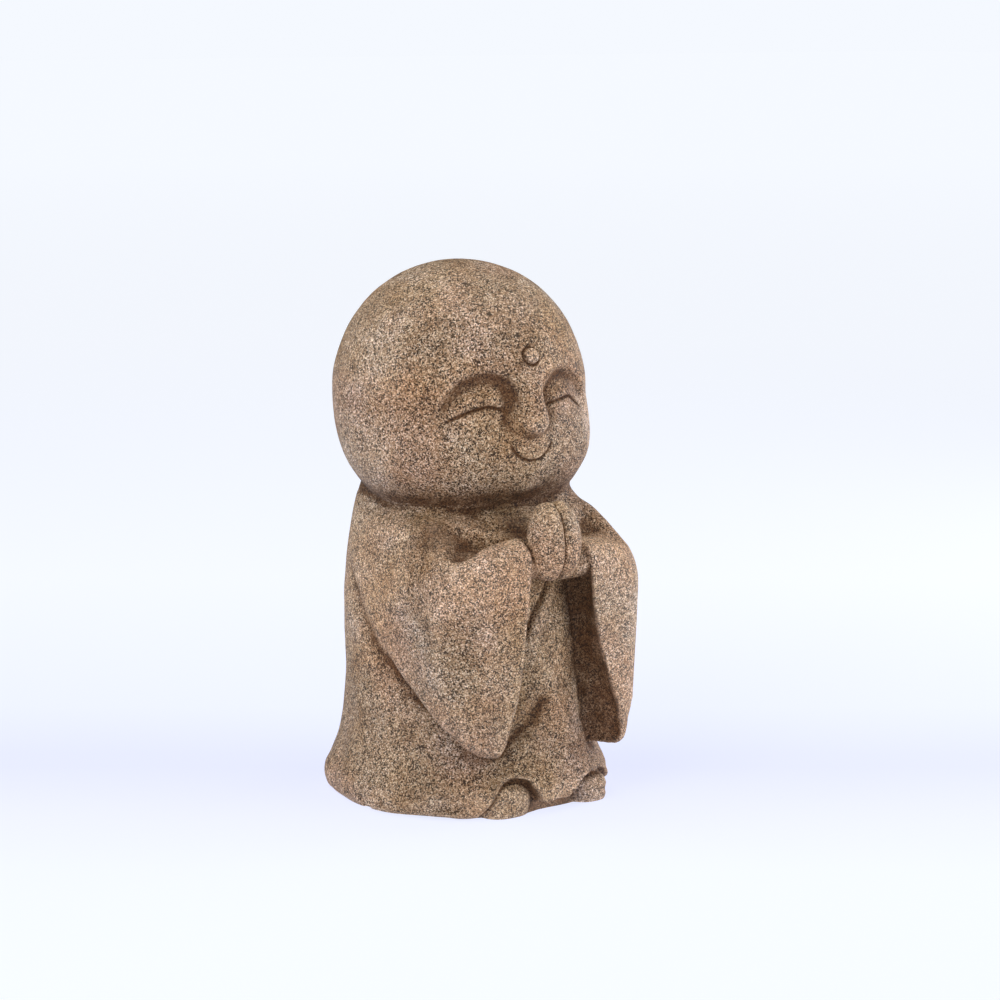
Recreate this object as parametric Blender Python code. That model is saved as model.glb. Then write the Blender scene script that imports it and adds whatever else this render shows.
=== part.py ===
"""A stone jizo: a small standing monk with a round head, palms pressed together
and long sleeves hanging to the hem, carved and worn as one block of granite.

Every form is a closed skin of rings. Its size comes from the driving dimensions,
its bulges and folds from the functions below. The forms are fused into one solid
and cut off flat where the block stands.
"""
import bpy
import numpy as np
from math import pi

for old in list(bpy.data.objects):
    bpy.data.objects.remove(old)

# ---------------------------------------------------------------- driving dimensions (metres)
MM = 0.001
HEAD_RADIUS = 0.0945
HEAD_CENTRE = np.array([0.0, 0.009, 0.3055])
ROBE_FOOT = -0.008                      # the forms run a little below the cut
ROBE_TOP = 0.252                        # hidden inside the head
DEGREE = 1.65                           # mm along the robe for each degree of turn
# outline of the robe at the back: height, radius
ROBE_OUTLINE = [(-8, 98), (0, 100.7), (3, 103.8), (8, 105.8), (13, 106.6), (19, 105.6), (27, 101.8),
                (42, 96.4), (57, 93.6), (72, 92.2), (94, 91.0), (125, 92.0), (150, 92.0), (176, 90.2),
                (192, 88.2), (207, 85.6), (222, 81), (232, 77), (242, 66), (252, 44)]
# how much the front stands back from that outline: height, depth
FRONT_OUTLINE = [(0, 1), (20, 0), (60, -3), (90, -1), (130, 2), (165, 4), (185, 2), (196, 2),
                 (204, 6), (220, 8), (236, 11)]
# how far the neck stands back on the right and in front: height, depth
NECK = [(204, 0), (212, 2), (217, 6), (222, 13), (228, 19), (240, 22), (252, 20)]
NOTCH_TURN = -83.8                      # a nick in the foot of the robe, degrees from the front
ARM_SIDE = 0.092                        # outer face of the sleeves from the middle plane
ARM_FRONT = 0.114                       # front face of the sleeves
ARM_CORNER = 0.034                      # radius of the elbow in plan
ARM_BACK = 0.030                        # where the sleeve starts behind the side line
SLEEVE_END = 0.024                      # the front edge nearest to the middle plane
RIGHT_HANG = -1.0                       # how much lower the right sleeve's hem comes down in front, mm
LEFT_HANG = 6.0                         # the same for the left sleeve
LEFT_DRAW_IN = 3.0                      # how much further back the left sleeve's tip stands, mm
LEFT_STOOP = 4.5                        # how much lower the left sleeve's top runs to the hand, mm
RIGHT_TOE = np.array([-0.0283, -0.0790, 0.0095])
LEFT_TOE = np.array([0.0470, -0.0765, 0.0080])
RIGHT_TOE_SIZE = np.array([0.0208, 0.0205, 0.0175])
LEFT_TOE_SIZE = np.array([0.0175, 0.0235, 0.0142])
TOE_POWER = 2.6                         # how boxy a toe cap is; 2 would be a plain egg
LEFT_WRIST = np.array([0.0240, -0.0975, 0.1845])
RIGHT_WRIST = np.array([-0.0200, -0.0975, 0.1875])
WRIST_SIZE = np.array([0.0205, 0.0130, 0.0125])
CROOK = np.array([0.062, -0.073, 0.177])     # stone left standing in the crook of each arm
CROOK_SIZE = np.array([0.029, 0.028, 0.0205])
FLIP = np.array([-1, 1, 1])             # what carries a point to the other side
VOXEL = 0.0029                          # cells in which the forms are fused
TRIANGLES = 9300                        # facets of the finished block

# stations along the arm, mm: run, lowest point, highest point, thickness, depth of the crest,
# drop inside the crest, rounded hem
ARM_STATIONS = np.array([
    [0, 181, 199, 30, 15, 15, 3],
    [28, 149, 211, 44, 22, 40, 5],
    [61, 111, 219.5, 60, 28, 60, 6],
    [92, 90, 214, 66, 22, 60, 7],
    [118, 75, 197, 64, 11, 50, 8],
    [138, 65, 196, 58, 14, 38, 9],
    [165, 53, 202, 46, 20, 24, 9],
    [200, 46, 207, 38, 19, 12, 8]], float)
# height and distance from the middle of each sleeve's front edge, and how far the face of the
# sleeve stands back, by height (mm)
RIGHT_EDGE = [(40, 54), (50, 47.5), (57, 43.5), (72, 39), (85, 34.4), (102, 31), (120, 29), (141, 27.3),
              (162, 26.0), (182, 23.8), (193, 23.4), (200, 24.8), (207, 28.5), (212, 34)]
LEFT_EDGE = [(40, 75), (54, 69), (61, 66), (72, 60.5), (86, 54), (103, 47.6), (118, 42), (128, 39),
             (140, 36), (151, 33.5), (166, 31.5), (178, 30.5), (190, 29), (200, 28), (207, 30), (212, 34)]
SLEEVE_FACE = [(40, 5.6), (75, 4.3), (110, 2.8), (130, 1.9), (150, 0.9), (170, 0.1), (185, 0.4), (205, 1.5)]
# how much further to the middle the inner edge of a sleeve's mouth reaches, by height (mm)
RIGHT_MOUTH = [(40, 9), (210, 9)]
LEFT_MOUTH = [(40, 27), (50, 22), (70, 18), (95, 13.5), (125, 8), (160, 5.5), (210, 5)]
# the palm from its heel to the fingertips, mm: middle y and z, thickness, half width
PALM_STATIONS = np.array([
    [-103.5, 184.5, 18.5, 14.0],
    [-105.9, 192, 20.3, 16.2],
    [-106.7, 203, 20.8, 16.2],
    [-106.3, 213, 19.4, 14.8],
    [-104.7, 221, 16.4, 12.2],
    [-102.7, 226.5, 12.6, 8.6]], float)

# lines drawn on the robe: degrees from the front, height in mm
COLLAR = [(84, 228), (62, 221), (45, 216), (28, 210), (12, 202), (0, 195)]
LAPEL = [(7.5, 171), (1.2, 156), (-4.2, 144), (-9, 128), (-14, 112)]
LAPEL_ROLL = [(12, 171), (5.6, 157), (0.4, 144), (-4.8, 127), (-10, 110)]
CHEST_FOLD = [(-50, 219), (-40, 214.5), (-30, 209), (-20, 203)]
CHEST_HOLLOW = [(-42, 223), (-33, 218), (-24, 212), (-15, 206)]
SKIRT_FOLD = [(4, 100), (1, 84), (-4, 73), (-9.5, 65), (-17, 55), (-23, 47), (-32, 38)]
SKIRT_RIDGE = [(-3, 140), (-2, 118), (3, 96), (12, 66), (20, 46)]
SIDE_FOLD = [(30, 96), (27, 74), (31, 52), (38, 34)]
UNDER_SLEEVE = [(106, 180), (100, 160), (92, 141), (83, 121), (72, 104), (63, 89), (54, 79), (45, 68)]
# how deep the recess under the hem goes: degrees from the front, distance from the axis in mm
HEM_RECESS = [(-45, 98), (-30, 96), (-24, 95.5), (-10, 95), (-5, 92.5), (-1, 90.4), (6, 90.6), (12, 92.5),
              (18, 94.5), (32, 96), (44, 97.5), (60, 99)]
# lines drawn on the face: degrees from the front, degrees above the middle of the head
BROW = [(5.2, -6), (5.8, -1), (7.6, 4.2), (10.8, 8.6), (15.4, 11.6), (21, 12.5), (28.4, 11.2),
        (34.7, 8.2), (40.5, 2.6), (44.2, -3.5), (47, -12)]
RIGHT_EYE = [(-40.9, -9.9), (-37.1, -8.3), (-33.5, -6.8), (-29.0, -5.2), (-25.1, -4.2), (-22.3, -3.9),
             (-19.6, -4.4), (-15.6, -5.5), (-12.6, -6.0)]
LEFT_EYE = [(8.0, -5.2), (12.2, -4.3), (17.8, -3.2), (22.6, -2.4), (25.6, -2.5), (28.6, -3.8), (32, -5.7),
            (36.0, -8.0)]
EYE_CUT = [0.8, 2.0, 2.5, 2.5, 2.4, 2.4, 2.0, 1.2]
MOUTH = [(-11.4, -20.4), (-9.9, -22.6), (-7.0, -25.0), (-3.6, -26.7), (-0.4, -27.3), (2.7, -26.9),
         (5.3, -25.5), (7.5, -23.5), (9.2, -20.6)]
MOUTH_CUT = [0.8, 1.8, 2.1, 2.2, 2.1, 1.8, 0.8]
NOSE_HEIGHT = [(-19.0, 0), (-17.2, 1.2), (-15.2, 5.4), (-12.8, 9.2), (-9.5, 10.4), (-5, 7.6), (1, 4.8),
               (7, 2.6), (13, 0.9), (18, 0)]
NOSE_SIDE = [(12.5, 6), (11.0, 1), (11.0, -4), (12.0, -9), (10.5, -14)]
NOSE_TURN = -1.8
MARK_TILT = 18.1
MARK_SIZE = 3.7


# ---------------------------------------------------------------- formulas
def ramp(x, start, stop):
    """0 before start, 1 after stop, an S curve between."""
    t = np.clip((x - start) / (stop - start), 0.0, 1.0)
    return t * t * (3 - 2 * t)


def bell(x, width):
    """1 in the middle, fading to nothing at about twice the width."""
    return np.exp(-(x / width) ** 2)


def flowing(points, count):
    """A smooth curve through the points (Catmull-Rom), sampled evenly in its parameter."""
    p = np.asarray(points, float)
    p = np.vstack([2 * p[0] - p[1], p, 2 * p[-1] - p[-2]])
    s = np.linspace(0, len(p) - 3 - 1e-9, count)
    k = s.astype(int)
    t = (s - k)[:, None]
    a, b, c, d = p[k], p[k + 1], p[k + 2], p[k + 3]
    return 0.5 * (2 * b + (c - a) * t + (2 * a - 5 * b + 4 * c - d) * t ** 2
                  + (3 * b - a - 3 * c + d) * t ** 3)


def along(points, x):
    """Reads the smooth curve through (x, value) points at x."""
    line = flowing(points, 300)
    return np.interp(x, line[:, 0], line[:, 1])


def drawn_line(across, up, path, depth, width, scale=1.0):
    """depth(s) * exp(-(distance / width(s)) ** 2), where s is the nearest place on the path.

    scale turns a step across into the same length as a step up.
    """
    share = np.linspace(0, 1, len(path))
    depths = np.interp(share, np.linspace(0, 1, len(depth)), depth)
    widths = np.interp(share, np.linspace(0, 1, len(width)), width)
    line = flowing(np.column_stack([path, depths, widths]), 90)
    gap = np.full(np.shape(across), np.inf)
    cut = np.zeros(np.shape(across))
    spread = np.ones(np.shape(across))
    for a, h, d, w in line:
        g = ((across - a) * scale) ** 2 + (up - h) ** 2
        closer = g < gap
        gap = np.where(closer, g, gap)
        cut = np.where(closer, d, cut)
        spread = np.where(closer, w, spread)
    return cut * np.exp(-gap / spread ** 2)


def skin_of_rings(name, rings):
    """A closed mesh from rings of points; the first and the last ring shrink to one point each."""
    rows, cols = rings.shape[:2]
    first, last = rings[0].mean(0), rings[-1].mean(0)
    verts = np.vstack([first[None], rings[1:-1].reshape(-1, 3), last[None]])
    j = np.arange(cols)
    nxt = (j + 1) % cols
    row = np.arange(rows - 3)[:, None] * cols + 1
    quads = np.stack([row + j, row + nxt, row + nxt + cols, row + j + cols], -1).reshape(-1, 4)
    top = 1 + (rows - 3) * cols
    faces = [(0, 1 + b, 1 + a) for a, b in zip(j, nxt)] + quads.tolist()
    faces += [(top + a, top + b, len(verts) - 1) for a, b in zip(j, nxt)]
    mesh = bpy.data.meshes.new(name)
    mesh.from_pydata(verts.tolist(), [], faces)
    return mesh


# ---------------------------------------------------------------- the forms
def face_relief(turn, tilt):
    """Millimetres that the face stands out (or in) from the plain head, for a turn and a tilt in
    degrees: bumps less hollows less cut lines."""
    across = turn * np.cos(np.radians(tilt))
    side = np.abs(across - NOSE_TURN)
    below = along(BROW, np.clip(side, 5.3, 46.8)) - tilt
    socket = ramp(below, -0.6, 5.0) * (1 - 0.62 * ramp(below, 5.5, 15)) * ramp(tilt, -24, -9)
    left_gap = 2.8 * ramp(across, 2, 5) * ramp(tilt, -5, 3)
    inner = side - 3.5 * ramp(tilt, -2, 11) + left_gap
    socket = 5.8 * socket * ramp(inner, 5.5, 13.5) * ramp(side, 47, 38)
    socket = socket * (1 - 0.35 * ramp(across, 22, 38))
    hollow = 1.6 * bell(side - 19, 20) * bell(tilt + 4, 12)
    width = np.interp(tilt, [-20, -15, -11, -5, 4, 14], [6.6, 7.6, 8.0, 6.9, 5.9, 6.6])
    bridge = along(NOSE_HEIGHT, np.clip(tilt - 0.045 * side ** 2, -18.9, 17.9))
    nose = np.maximum(bridge, 0) * np.exp(-((side + 0.5 * left_gap) / width) ** 3.0)
    lid = 1.8 * bell(side - 25, 11) * bell(tilt + 0.2 + 0.016 * (side - 22) ** 2, 3.0)
    lid = lid * (1 - 0.6 * ramp(across, 24, 34))
    chin = 1.6 * bell(side, 9) * bell(tilt + 39.5, 4)
    apart = np.hypot(across, tilt - MARK_TILT) / MARK_SIZE
    mark = 4.2 * np.clip(1 - apart ** 2, 0, 1) ** 0.42 - 1.7 * bell(apart - 1.13, 0.15)
    cuts = drawn_line(side + left_gap, tilt, NOSE_SIDE, [0.3, 2.0, 2.8, 2.2, 0.8], [4.2])
    for line in (RIGHT_EYE, LEFT_EYE):
        cuts = cuts + drawn_line(across, tilt, line, EYE_CUT, [0.82])
    cuts = cuts + drawn_line(across, tilt, MOUTH, MOUTH_CUT, [0.66])
    return nose + lid + chin + mark - socket - hollow - cuts


def head_reach(turn, tilt):
    """Distance from the head's middle to its skin. turn and tilt are in radians.

    radius * (cos^n + sin^n) ** (-1/n), with n 2 above and 2.5 below, plus cheeks and face."""
    power = np.where(tilt < 0, 2.5, 2.0)
    plain = HEAD_RADIUS * (np.cos(tilt) ** power + np.abs(np.sin(tilt)) ** power) ** (-1 / power)
    side, up = np.degrees(np.abs(turn)), np.degrees(tilt)
    plain = plain - MM * (1.3 * ramp(up, 0, 22) + 0.7 * ramp(up, 55, 90))
    cheeks = (0.45 + 0.55 * ramp(side, 8, 42)) * (1 - ramp(side, 68, 125)) * ramp(-up, 2, 30)
    relief = np.zeros(side.shape)
    front = (side < 62) & (np.abs(up) < 50)
    relief[front] = face_relief(np.degrees(turn)[front], up[front])
    return plain + MM * (9.0 * cheeks + relief)


def directions(rows, cols):
    """A grid of turns and tilts from pole to pole, in radians."""
    tilt, turn = np.meshgrid(np.linspace(-pi / 2, pi / 2, rows),
                             np.linspace(-pi, pi, cols, endpoint=False), indexing="ij")
    return turn, tilt


def towards(turn, tilt):
    """The unit vector for a turn from the front (-Y) and a tilt upwards."""
    return np.stack([np.cos(tilt) * np.sin(turn), -np.cos(tilt) * np.cos(turn), np.sin(tilt)], -1)


def head(rows=120, cols=220):
    """The head's rings: middle + reach * direction."""
    turn, tilt = directions(rows, cols)
    return HEAD_CENTRE + head_reach(turn, tilt)[..., None] * towards(turn, tilt)


def hem_height(turn):
    """Lower edge of the robe in mm: the highest of two arches and the lobe between them."""
    right = 28.5 * np.exp(-np.abs((turn + 15.5) / 11.8) ** 3)
    left = 21.5 * np.exp(-np.abs((turn - 28.5) / 19.5) ** 3)
    lobe = 9.0 * np.exp(-((turn - 4) / 14.0) ** 4)
    return np.maximum(np.maximum(right, left), lobe)


def robe_reach(turn, z):
    """Distance from the upright axis to the robe, for a turn in radians and a height."""
    up, deg = z / MM, np.degrees(turn)
    side = np.abs(deg)
    front = 1 - ramp(side, 25, 62)
    r = along(ROBE_OUTLINE, up) - front * along(FRONT_OUTLINE, up)
    r = r + 10 * bell(side - 56, 24) * bell(up - 206, 11)
    r = r - along(NECK, up) * ramp(deg, -122, -78) * ramp(deg, 42, 12)
    r = r + 7 * bell(side - 38, 17) * ramp(up, 206, 186) * ramp(up, 150, 170)
    r = r + drawn_line(deg, up, CHEST_FOLD, [0.6, 3.2, 3.4, 2.0], [3.4], DEGREE)
    r = r - drawn_line(deg, up, CHEST_HOLLOW, [0.6, 3.0, 3.4, 1.2], [5.0], DEGREE)
    r = r + drawn_line(side, up, COLLAR, [0.5, 2.4, 3.8, 4.0, 3.8, 2.6], [4.6, 4.0], DEGREE)
    r = r - drawn_line(deg, up, LAPEL, [3.4, 4.6, 4.2, 2.2, 0.3], [1.5, 1.8], DEGREE)
    r = r + drawn_line(deg, up, LAPEL_ROLL, [1.2, 2.6, 2.6, 1.6, 0.4], [4.4, 5.4], DEGREE)
    r = r - drawn_line(deg, up, SKIRT_FOLD, [0.4, 2.6, 4.4, 5.0, 4.2, 2.4, 0.6], [6.0, 6.6], DEGREE)
    r = r + drawn_line(deg, up, SKIRT_RIDGE, [0.8, 2.0, 2.8, 2.2, 1.0], [7.5], DEGREE)
    r = r - drawn_line(deg, up, SIDE_FOLD, [0.3, 1.8, 2.2, 0.4], [5.0], DEGREE)
    r = r - drawn_line(side, up, UNDER_SLEEVE, [0.3, 3.0, 3.6, 3.6, 3.0, 0.8], [7.0], DEGREE)
    wave = 0.9 * np.sin(5 * turn + 0.7) + 0.7 * np.sin(9 * turn + 1.9) + 0.4 * np.sin(14 * turn)
    r = r + wave * ramp(up, 95, 12) * ramp(side, 30, 60)
    r = r - 5.0 * bell(deg - NOTCH_TURN, 1.5) * ramp(up, 15, 5)
    lift = 2.6 + 1.1 * np.sin(3 * turn + 0.4) + 0.9 * np.sin(8 * turn + 2.2)
    step_back = 3.0 + 3.2 * bell(deg + 50, 14) - 2.0 * bell(deg + 96, 24)
    r = r - step_back * ramp(lift - up, -0.8, 0.8) * ramp(side, 34, 46) * ramp(side, 112, 96)
    below = ramp(hem_height(deg) - up, -0.8, 0.8) * ramp(side, 60, 52)
    under = np.interp(deg, *np.transpose(HEM_RECESS))
    r = r * (1 - below) + np.minimum(under, r) * below
    lip = 1.5 * bell(hem_height(deg) - up + 2.6, 2.6) * ramp(side, 54, 44)
    return MM * (r + lip)


def robe(rows=150, cols=280):
    """The robe's rings: axis + reach * direction, closed inside the head and below the ground."""
    z, turn = np.meshgrid(np.linspace(ROBE_FOOT, ROBE_TOP, rows),
                          np.linspace(-pi, pi, cols, endpoint=False), indexing="ij")
    r = robe_reach(turn, z)
    back = np.interp(z, [0.2, ROBE_TOP], [0, 0.006])
    rings = np.stack([r * np.sin(turn), back - r * np.cos(turn), z], -1)
    rings[0], rings[-1] = [0, 0, ROBE_FOOT], [0, 0.006, ROBE_TOP]
    return rings


def arm_section(run, cols):
    """Depth behind the outer face and height of each point round the section, both in mm.

    Seven strokes follow each other: outer hem, outer face, the round up to the crest, the slope
    inside it (round at the shoulder, hollow at the elbow), inner face, inner hem, bottom."""
    low, high, thick, crest, top, hem = [along(np.column_stack([ARM_STATIONS[:, 0], c]), run)[:, None]
                                  for c in ARM_STATIONS.T[1:]]
    fit = np.minimum(1, 0.98 * (high - low) / (top + hem))
    top, hem = top * fit, hem * fit
    q = np.linspace(0, 7, cols, endpoint=False)[None, :]
    stroke = [np.clip(q - k, 0, 1) for k in range(7)]
    arc = [s * pi / 2 for s in stroke]
    foot = np.minimum(hem, 0.45 * thick)
    hollowed = 2.2 - 1.3 * ramp(run, 70, 112)[:, None]
    depth = (foot * (np.sin(arc[0]) - 1) - crest * (1 - np.cos(arc[2])) - (thick - crest) * stroke[3]
             + foot * (1 - np.cos(arc[5])) + (thick - 2 * foot) * stroke[6])
    height = (low + hem * (1 - np.cos(arc[0])) + (high - top - low - hem) * (stroke[1] - stroke[4])
              + top * (np.sin(arc[2]) - stroke[3] ** hollowed) - hem * np.sin(arc[5]))
    return depth, height


def closing(ring, steps, bulge):
    """Rings that close an end: the ring shrinks to its middle by a quarter of a circle, and
    bulges (or sinks) by a quarter of a sine."""
    middle = ring.mean(0)
    angle = (np.arange(1, steps + 1) / steps * pi / 2)[:, None, None]
    return middle + (ring - middle) * np.cos(angle) ** 0.7 + np.array(bulge) * np.sin(angle)


def arm(front_edge, mouth, hang, draw_in, stoop, rows=90, cols=126):
    """The section carried along the way: straight, a quarter turn at the elbow, straight.

    hang is how much lower than the table this sleeve's hem comes down in front, draw_in how much
    further back its lowest part stands, and stoop how much its top sinks on the way to the hand,
    after a slight rise at the elbow (mm)."""
    corner_x, corner_y = ARM_SIDE - ARM_CORNER, ARM_CORNER - ARM_FRONT
    straight, bend = ARM_BACK - corner_y, ARM_CORNER * pi / 2
    share = np.linspace(0, 1, rows)
    full = straight + bend + corner_x - SLEEVE_END
    depth, height = arm_section(share * full / MM, cols)
    height = height - hang * ramp(share[:, None], 0.5, 0.85) * ramp(height, 110, 60)
    leaning = ramp(share[:, None], 0.40, 0.75) - 0.8 * bell(share[:, None] - 0.44, 0.08)
    height = height - stoop * ramp(height, 150, 205) * leaning
    edge = MM * (along(front_edge, height) - along(mouth, height) * np.clip((-depth - 1) / 28, 0, 1))
    run = share[:, None] * (straight + bend + corner_x - edge)
    depth = MM * (depth - along(SLEEVE_FACE, height) - draw_in * ramp(height, 78, 56))
    angle = np.clip((run - straight) / bend, 0, 1) * pi / 2
    ahead = np.minimum(run, straight)
    across = np.maximum(run - straight - bend, 0)
    back_y = ARM_BACK - ahead
    tuck = ARM_SIDE - np.sqrt(np.clip(ARM_SIDE ** 2 - np.maximum(back_y, 0) ** 2, 0, None))
    x = corner_x + (ARM_CORNER + depth) * np.cos(angle) - across - tuck
    y = back_y - (ARM_CORNER + depth) * np.sin(angle)
    rings = np.stack([x, y, MM * height], -1)
    return np.concatenate([closing(rings[0], 6, (0, 0.003, 0))[::-1], rings,
                           closing(rings[-1], 8, (0.003, 0, 0))])


def palm(rows=50, cols=60):
    """The left palm's rings: x = thickness * cos (only a little behind the middle plane), and
    width * sin across, each raised to a power that makes the oval fuller."""
    s = flowing(PALM_STATIONS, rows) * MM
    way = np.gradient(np.column_stack([0 * s[:, 0], s[:, :2]]), axis=0)
    way /= np.linalg.norm(way, axis=1)[:, None]
    forward = np.cross(way, [1.0, 0, 0])
    forward = (forward / np.linalg.norm(forward, axis=1)[:, None])[:, None, :]
    a = np.linspace(0, 2 * pi, cols, endpoint=False)[None, :]
    out = np.where(np.cos(a) > 0, s[:, 2:3] * np.abs(np.cos(a)) ** 0.84, -0.0008 * np.abs(np.cos(a)) ** 0.3)
    wide = s[:, 3:4] * np.sign(np.sin(a)) * np.abs(np.sin(a)) ** 0.84
    middle = np.column_stack([0 * s[:, 0], s[:, :2]])[:, None, :]
    rings = middle + out[..., None] * np.array([1.0, 0, 0]) + wide[..., None] * forward
    tips = [closing(rings[i], 7, way[i] * h) for i, h in ((0, -0.0085), (-1, 0.0045))]
    return np.concatenate([tips[0][::-1], rings, tips[1]])


def egg(middle, size, power=2.0, rows=30, cols=48):
    """A ball drawn out to three half sizes: middle + size * direction. A power above 2 makes it
    boxier, because the direction is divided by its own length measured with that power."""
    turn, tilt = directions(rows, cols)
    way = towards(turn, tilt)
    length = (np.abs(way) ** power).sum(-1, keepdims=True) ** (1 / power)
    return middle + way / length * size


def mirrored(rings):
    """The other side: x changes its sign, and each ring runs backwards to keep faces outward."""
    return (rings * FLIP)[:, ::-1]


# ---------------------------------------------------------------- one block of stone
def granite():
    """Brown granite, dull from the weather."""
    material = bpy.data.materials.new("granite")
    material.use_nodes = True
    shader = material.node_tree.nodes["Principled BSDF"]
    shader.inputs["Base Color"].default_value = (0.27, 0.19, 0.12, 1.0)
    shader.inputs["Roughness"].default_value = 0.72
    shader.inputs["Metallic"].default_value = 0.0
    return material


def ground_cutter():
    """The box below the ground plane that takes off what runs past the flat underside."""
    reach, deep = 0.16, 0.03
    corners = [(x, y, z) for z in (-deep, 0.0) for y in (-reach, reach) for x in (-reach, reach)]
    faces = [(0, 2, 3, 1), (4, 5, 7, 6), (0, 1, 5, 4), (1, 3, 7, 5), (3, 2, 6, 7), (2, 0, 4, 6)]
    mesh = bpy.data.meshes.new("ground_cutter")
    mesh.from_pydata(corners, [], faces)
    cutter = bpy.data.objects.new("ground_cutter", mesh)
    bpy.context.scene.collection.objects.link(cutter)
    cutter.hide_render = True
    cutter.display_type = "WIRE"
    return cutter


def statue():
    """All the forms in one mesh, fused, smoothed like worn stone and cut flat underneath."""
    forms = [head(), robe(), arm(LEFT_EDGE, LEFT_MOUTH, LEFT_HANG, LEFT_DRAW_IN, LEFT_STOOP),
             mirrored(arm(RIGHT_EDGE, RIGHT_MOUTH, RIGHT_HANG, 0.0, 0.0)), palm(), mirrored(palm()),
             egg(CROOK, CROOK_SIZE), egg(CROOK * FLIP, CROOK_SIZE), egg(LEFT_WRIST, WRIST_SIZE),
             egg(RIGHT_WRIST, WRIST_SIZE), egg(LEFT_TOE, LEFT_TOE_SIZE, TOE_POWER),
             egg(RIGHT_TOE, RIGHT_TOE_SIZE, TOE_POWER)]
    verts, faces = [], []
    for number, rings in enumerate(forms):
        mesh = skin_of_rings(f"form_{number}", rings)
        shift = len(verts)
        verts += [v.co.copy() for v in mesh.vertices]
        faces += [[shift + i for i in p.vertices] for p in mesh.polygons]
        bpy.data.meshes.remove(mesh)
    mesh = bpy.data.meshes.new("jizo_statue")
    mesh.from_pydata(verts, [], faces)
    mesh.materials.append(granite())
    block = bpy.data.objects.new("jizo_statue", mesh)
    bpy.context.scene.collection.objects.link(block)

    fuse = block.modifiers.new("fuse", "REMESH")
    fuse.mode = "VOXEL"
    fuse.voxel_size = VOXEL
    fuse.use_smooth_shade = True
    wear = block.modifiers.new("wear", "SMOOTH")
    wear.factor = 0.5
    wear.iterations = 2
    facets = block.modifiers.new("facets", "DECIMATE")
    facets.ratio = 1.0
    cut = block.modifiers.new("flat_underside", "BOOLEAN")
    cut.operation = "DIFFERENCE"
    cut.solver = "EXACT"
    cut.object = ground_cutter()

    # the worn block tells how far to thin its facets, and where its middle is
    cut.show_viewport = False
    worn = block.evaluated_get(bpy.context.evaluated_depsgraph_get())
    skin = worn.to_mesh()
    facets.ratio = TRIANGLES / sum(len(p.vertices) - 2 for p in skin.polygons)
    places = np.empty(3 * len(skin.vertices))
    skin.vertices.foreach_get("co", places)
    places = places.reshape(-1, 3)
    middle = (places.min(0) + places.max(0)) / 2
    worn.to_mesh_clear()
    cut.show_viewport = True
    block.location = (-middle[0], -middle[1], 0.0)
    return block


statue()
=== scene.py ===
# %% [markdown]
# # A stone jizo
#
# A jizo is a small monk carved from one block of granite: a big round head with a quiet
# smile, palms pressed together, and long sleeves hanging almost to the hem. There is no
# join anywhere, so the whole statue is one closed skin over one solid.
#
# The script works the way a mason does. It roughs out simple forms, joins them in one block,
# wears the block smooth, cuts the fine lines last, and then sees to grain, stains and light.
# It could be sculpted with brushes, but as formulas every form stays a number that can be read
# and changed.

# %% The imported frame
import bpy
import bmesh
import numpy as np
from math import pi, radians
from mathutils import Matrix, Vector


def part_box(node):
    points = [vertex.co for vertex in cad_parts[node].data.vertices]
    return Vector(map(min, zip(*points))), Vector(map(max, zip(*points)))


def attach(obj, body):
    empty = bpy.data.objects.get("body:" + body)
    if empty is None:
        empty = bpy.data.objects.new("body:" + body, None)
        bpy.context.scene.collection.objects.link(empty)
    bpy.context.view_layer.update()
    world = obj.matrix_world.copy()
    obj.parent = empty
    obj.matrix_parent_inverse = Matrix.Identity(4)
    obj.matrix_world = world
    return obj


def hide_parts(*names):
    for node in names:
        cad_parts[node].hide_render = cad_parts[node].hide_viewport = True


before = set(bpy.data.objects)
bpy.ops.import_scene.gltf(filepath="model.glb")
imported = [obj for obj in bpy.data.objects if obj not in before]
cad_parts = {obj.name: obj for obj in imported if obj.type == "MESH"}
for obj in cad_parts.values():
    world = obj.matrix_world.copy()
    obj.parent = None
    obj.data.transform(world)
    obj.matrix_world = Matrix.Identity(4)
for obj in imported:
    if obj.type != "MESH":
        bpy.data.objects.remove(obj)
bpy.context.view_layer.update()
NODE = "jizo_statue"
block_low, block_high = (np.array(corner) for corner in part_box(NODE))
print("block from", block_low.round(4), "to", block_high.round(4))

# %% [markdown]
# ## Sizes
#
# Blender counts in metres, and the small sizes of carving are in millimetres. Heights start at
# the ground. Turns are in degrees from the front, plus to the left.

# %% Sizes
MM = 0.001
HEAD_RADIUS = 0.0945
HEAD_CENTRE = np.array([0.0, 0.009, 0.3055])
ROBE_FOOT, ROBE_TOP = -0.008, 0.252
print(f"head {2 * HEAD_RADIUS / MM:.0f} mm across, its middle {HEAD_CENTRE[2] / MM:.1f} mm up")

# %% [markdown]
# ## Five small formulas
#
# All shapes are made from five curves: a soft step, a step up and down again, a rounded bump, a
# smooth line through a few points, and such a line read like a table. They take whole arrays,
# so a skin of a hundred thousand points is worked out at once.

# %% Five small formulas
def ramp(x, start, stop):
    """0 before start, 1 after stop, and t*t*(3 - 2*t) between them."""
    t = np.clip((x - start) / (stop - start), 0.0, 1.0)
    return t * t * (3 - 2 * t)


def window(x, begin, full, fade, end):
    """ramp(begin..full) * ramp(end..fade): 0 outside begin..end, and 1 from full to fade."""
    return ramp(x, begin, full) * ramp(x, end, fade)


def bell(x, width):
    """e to the power -(x / width) squared: 1 in the middle, nearly 0 at twice the width."""
    return np.exp(-(x / width) ** 2)


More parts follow.
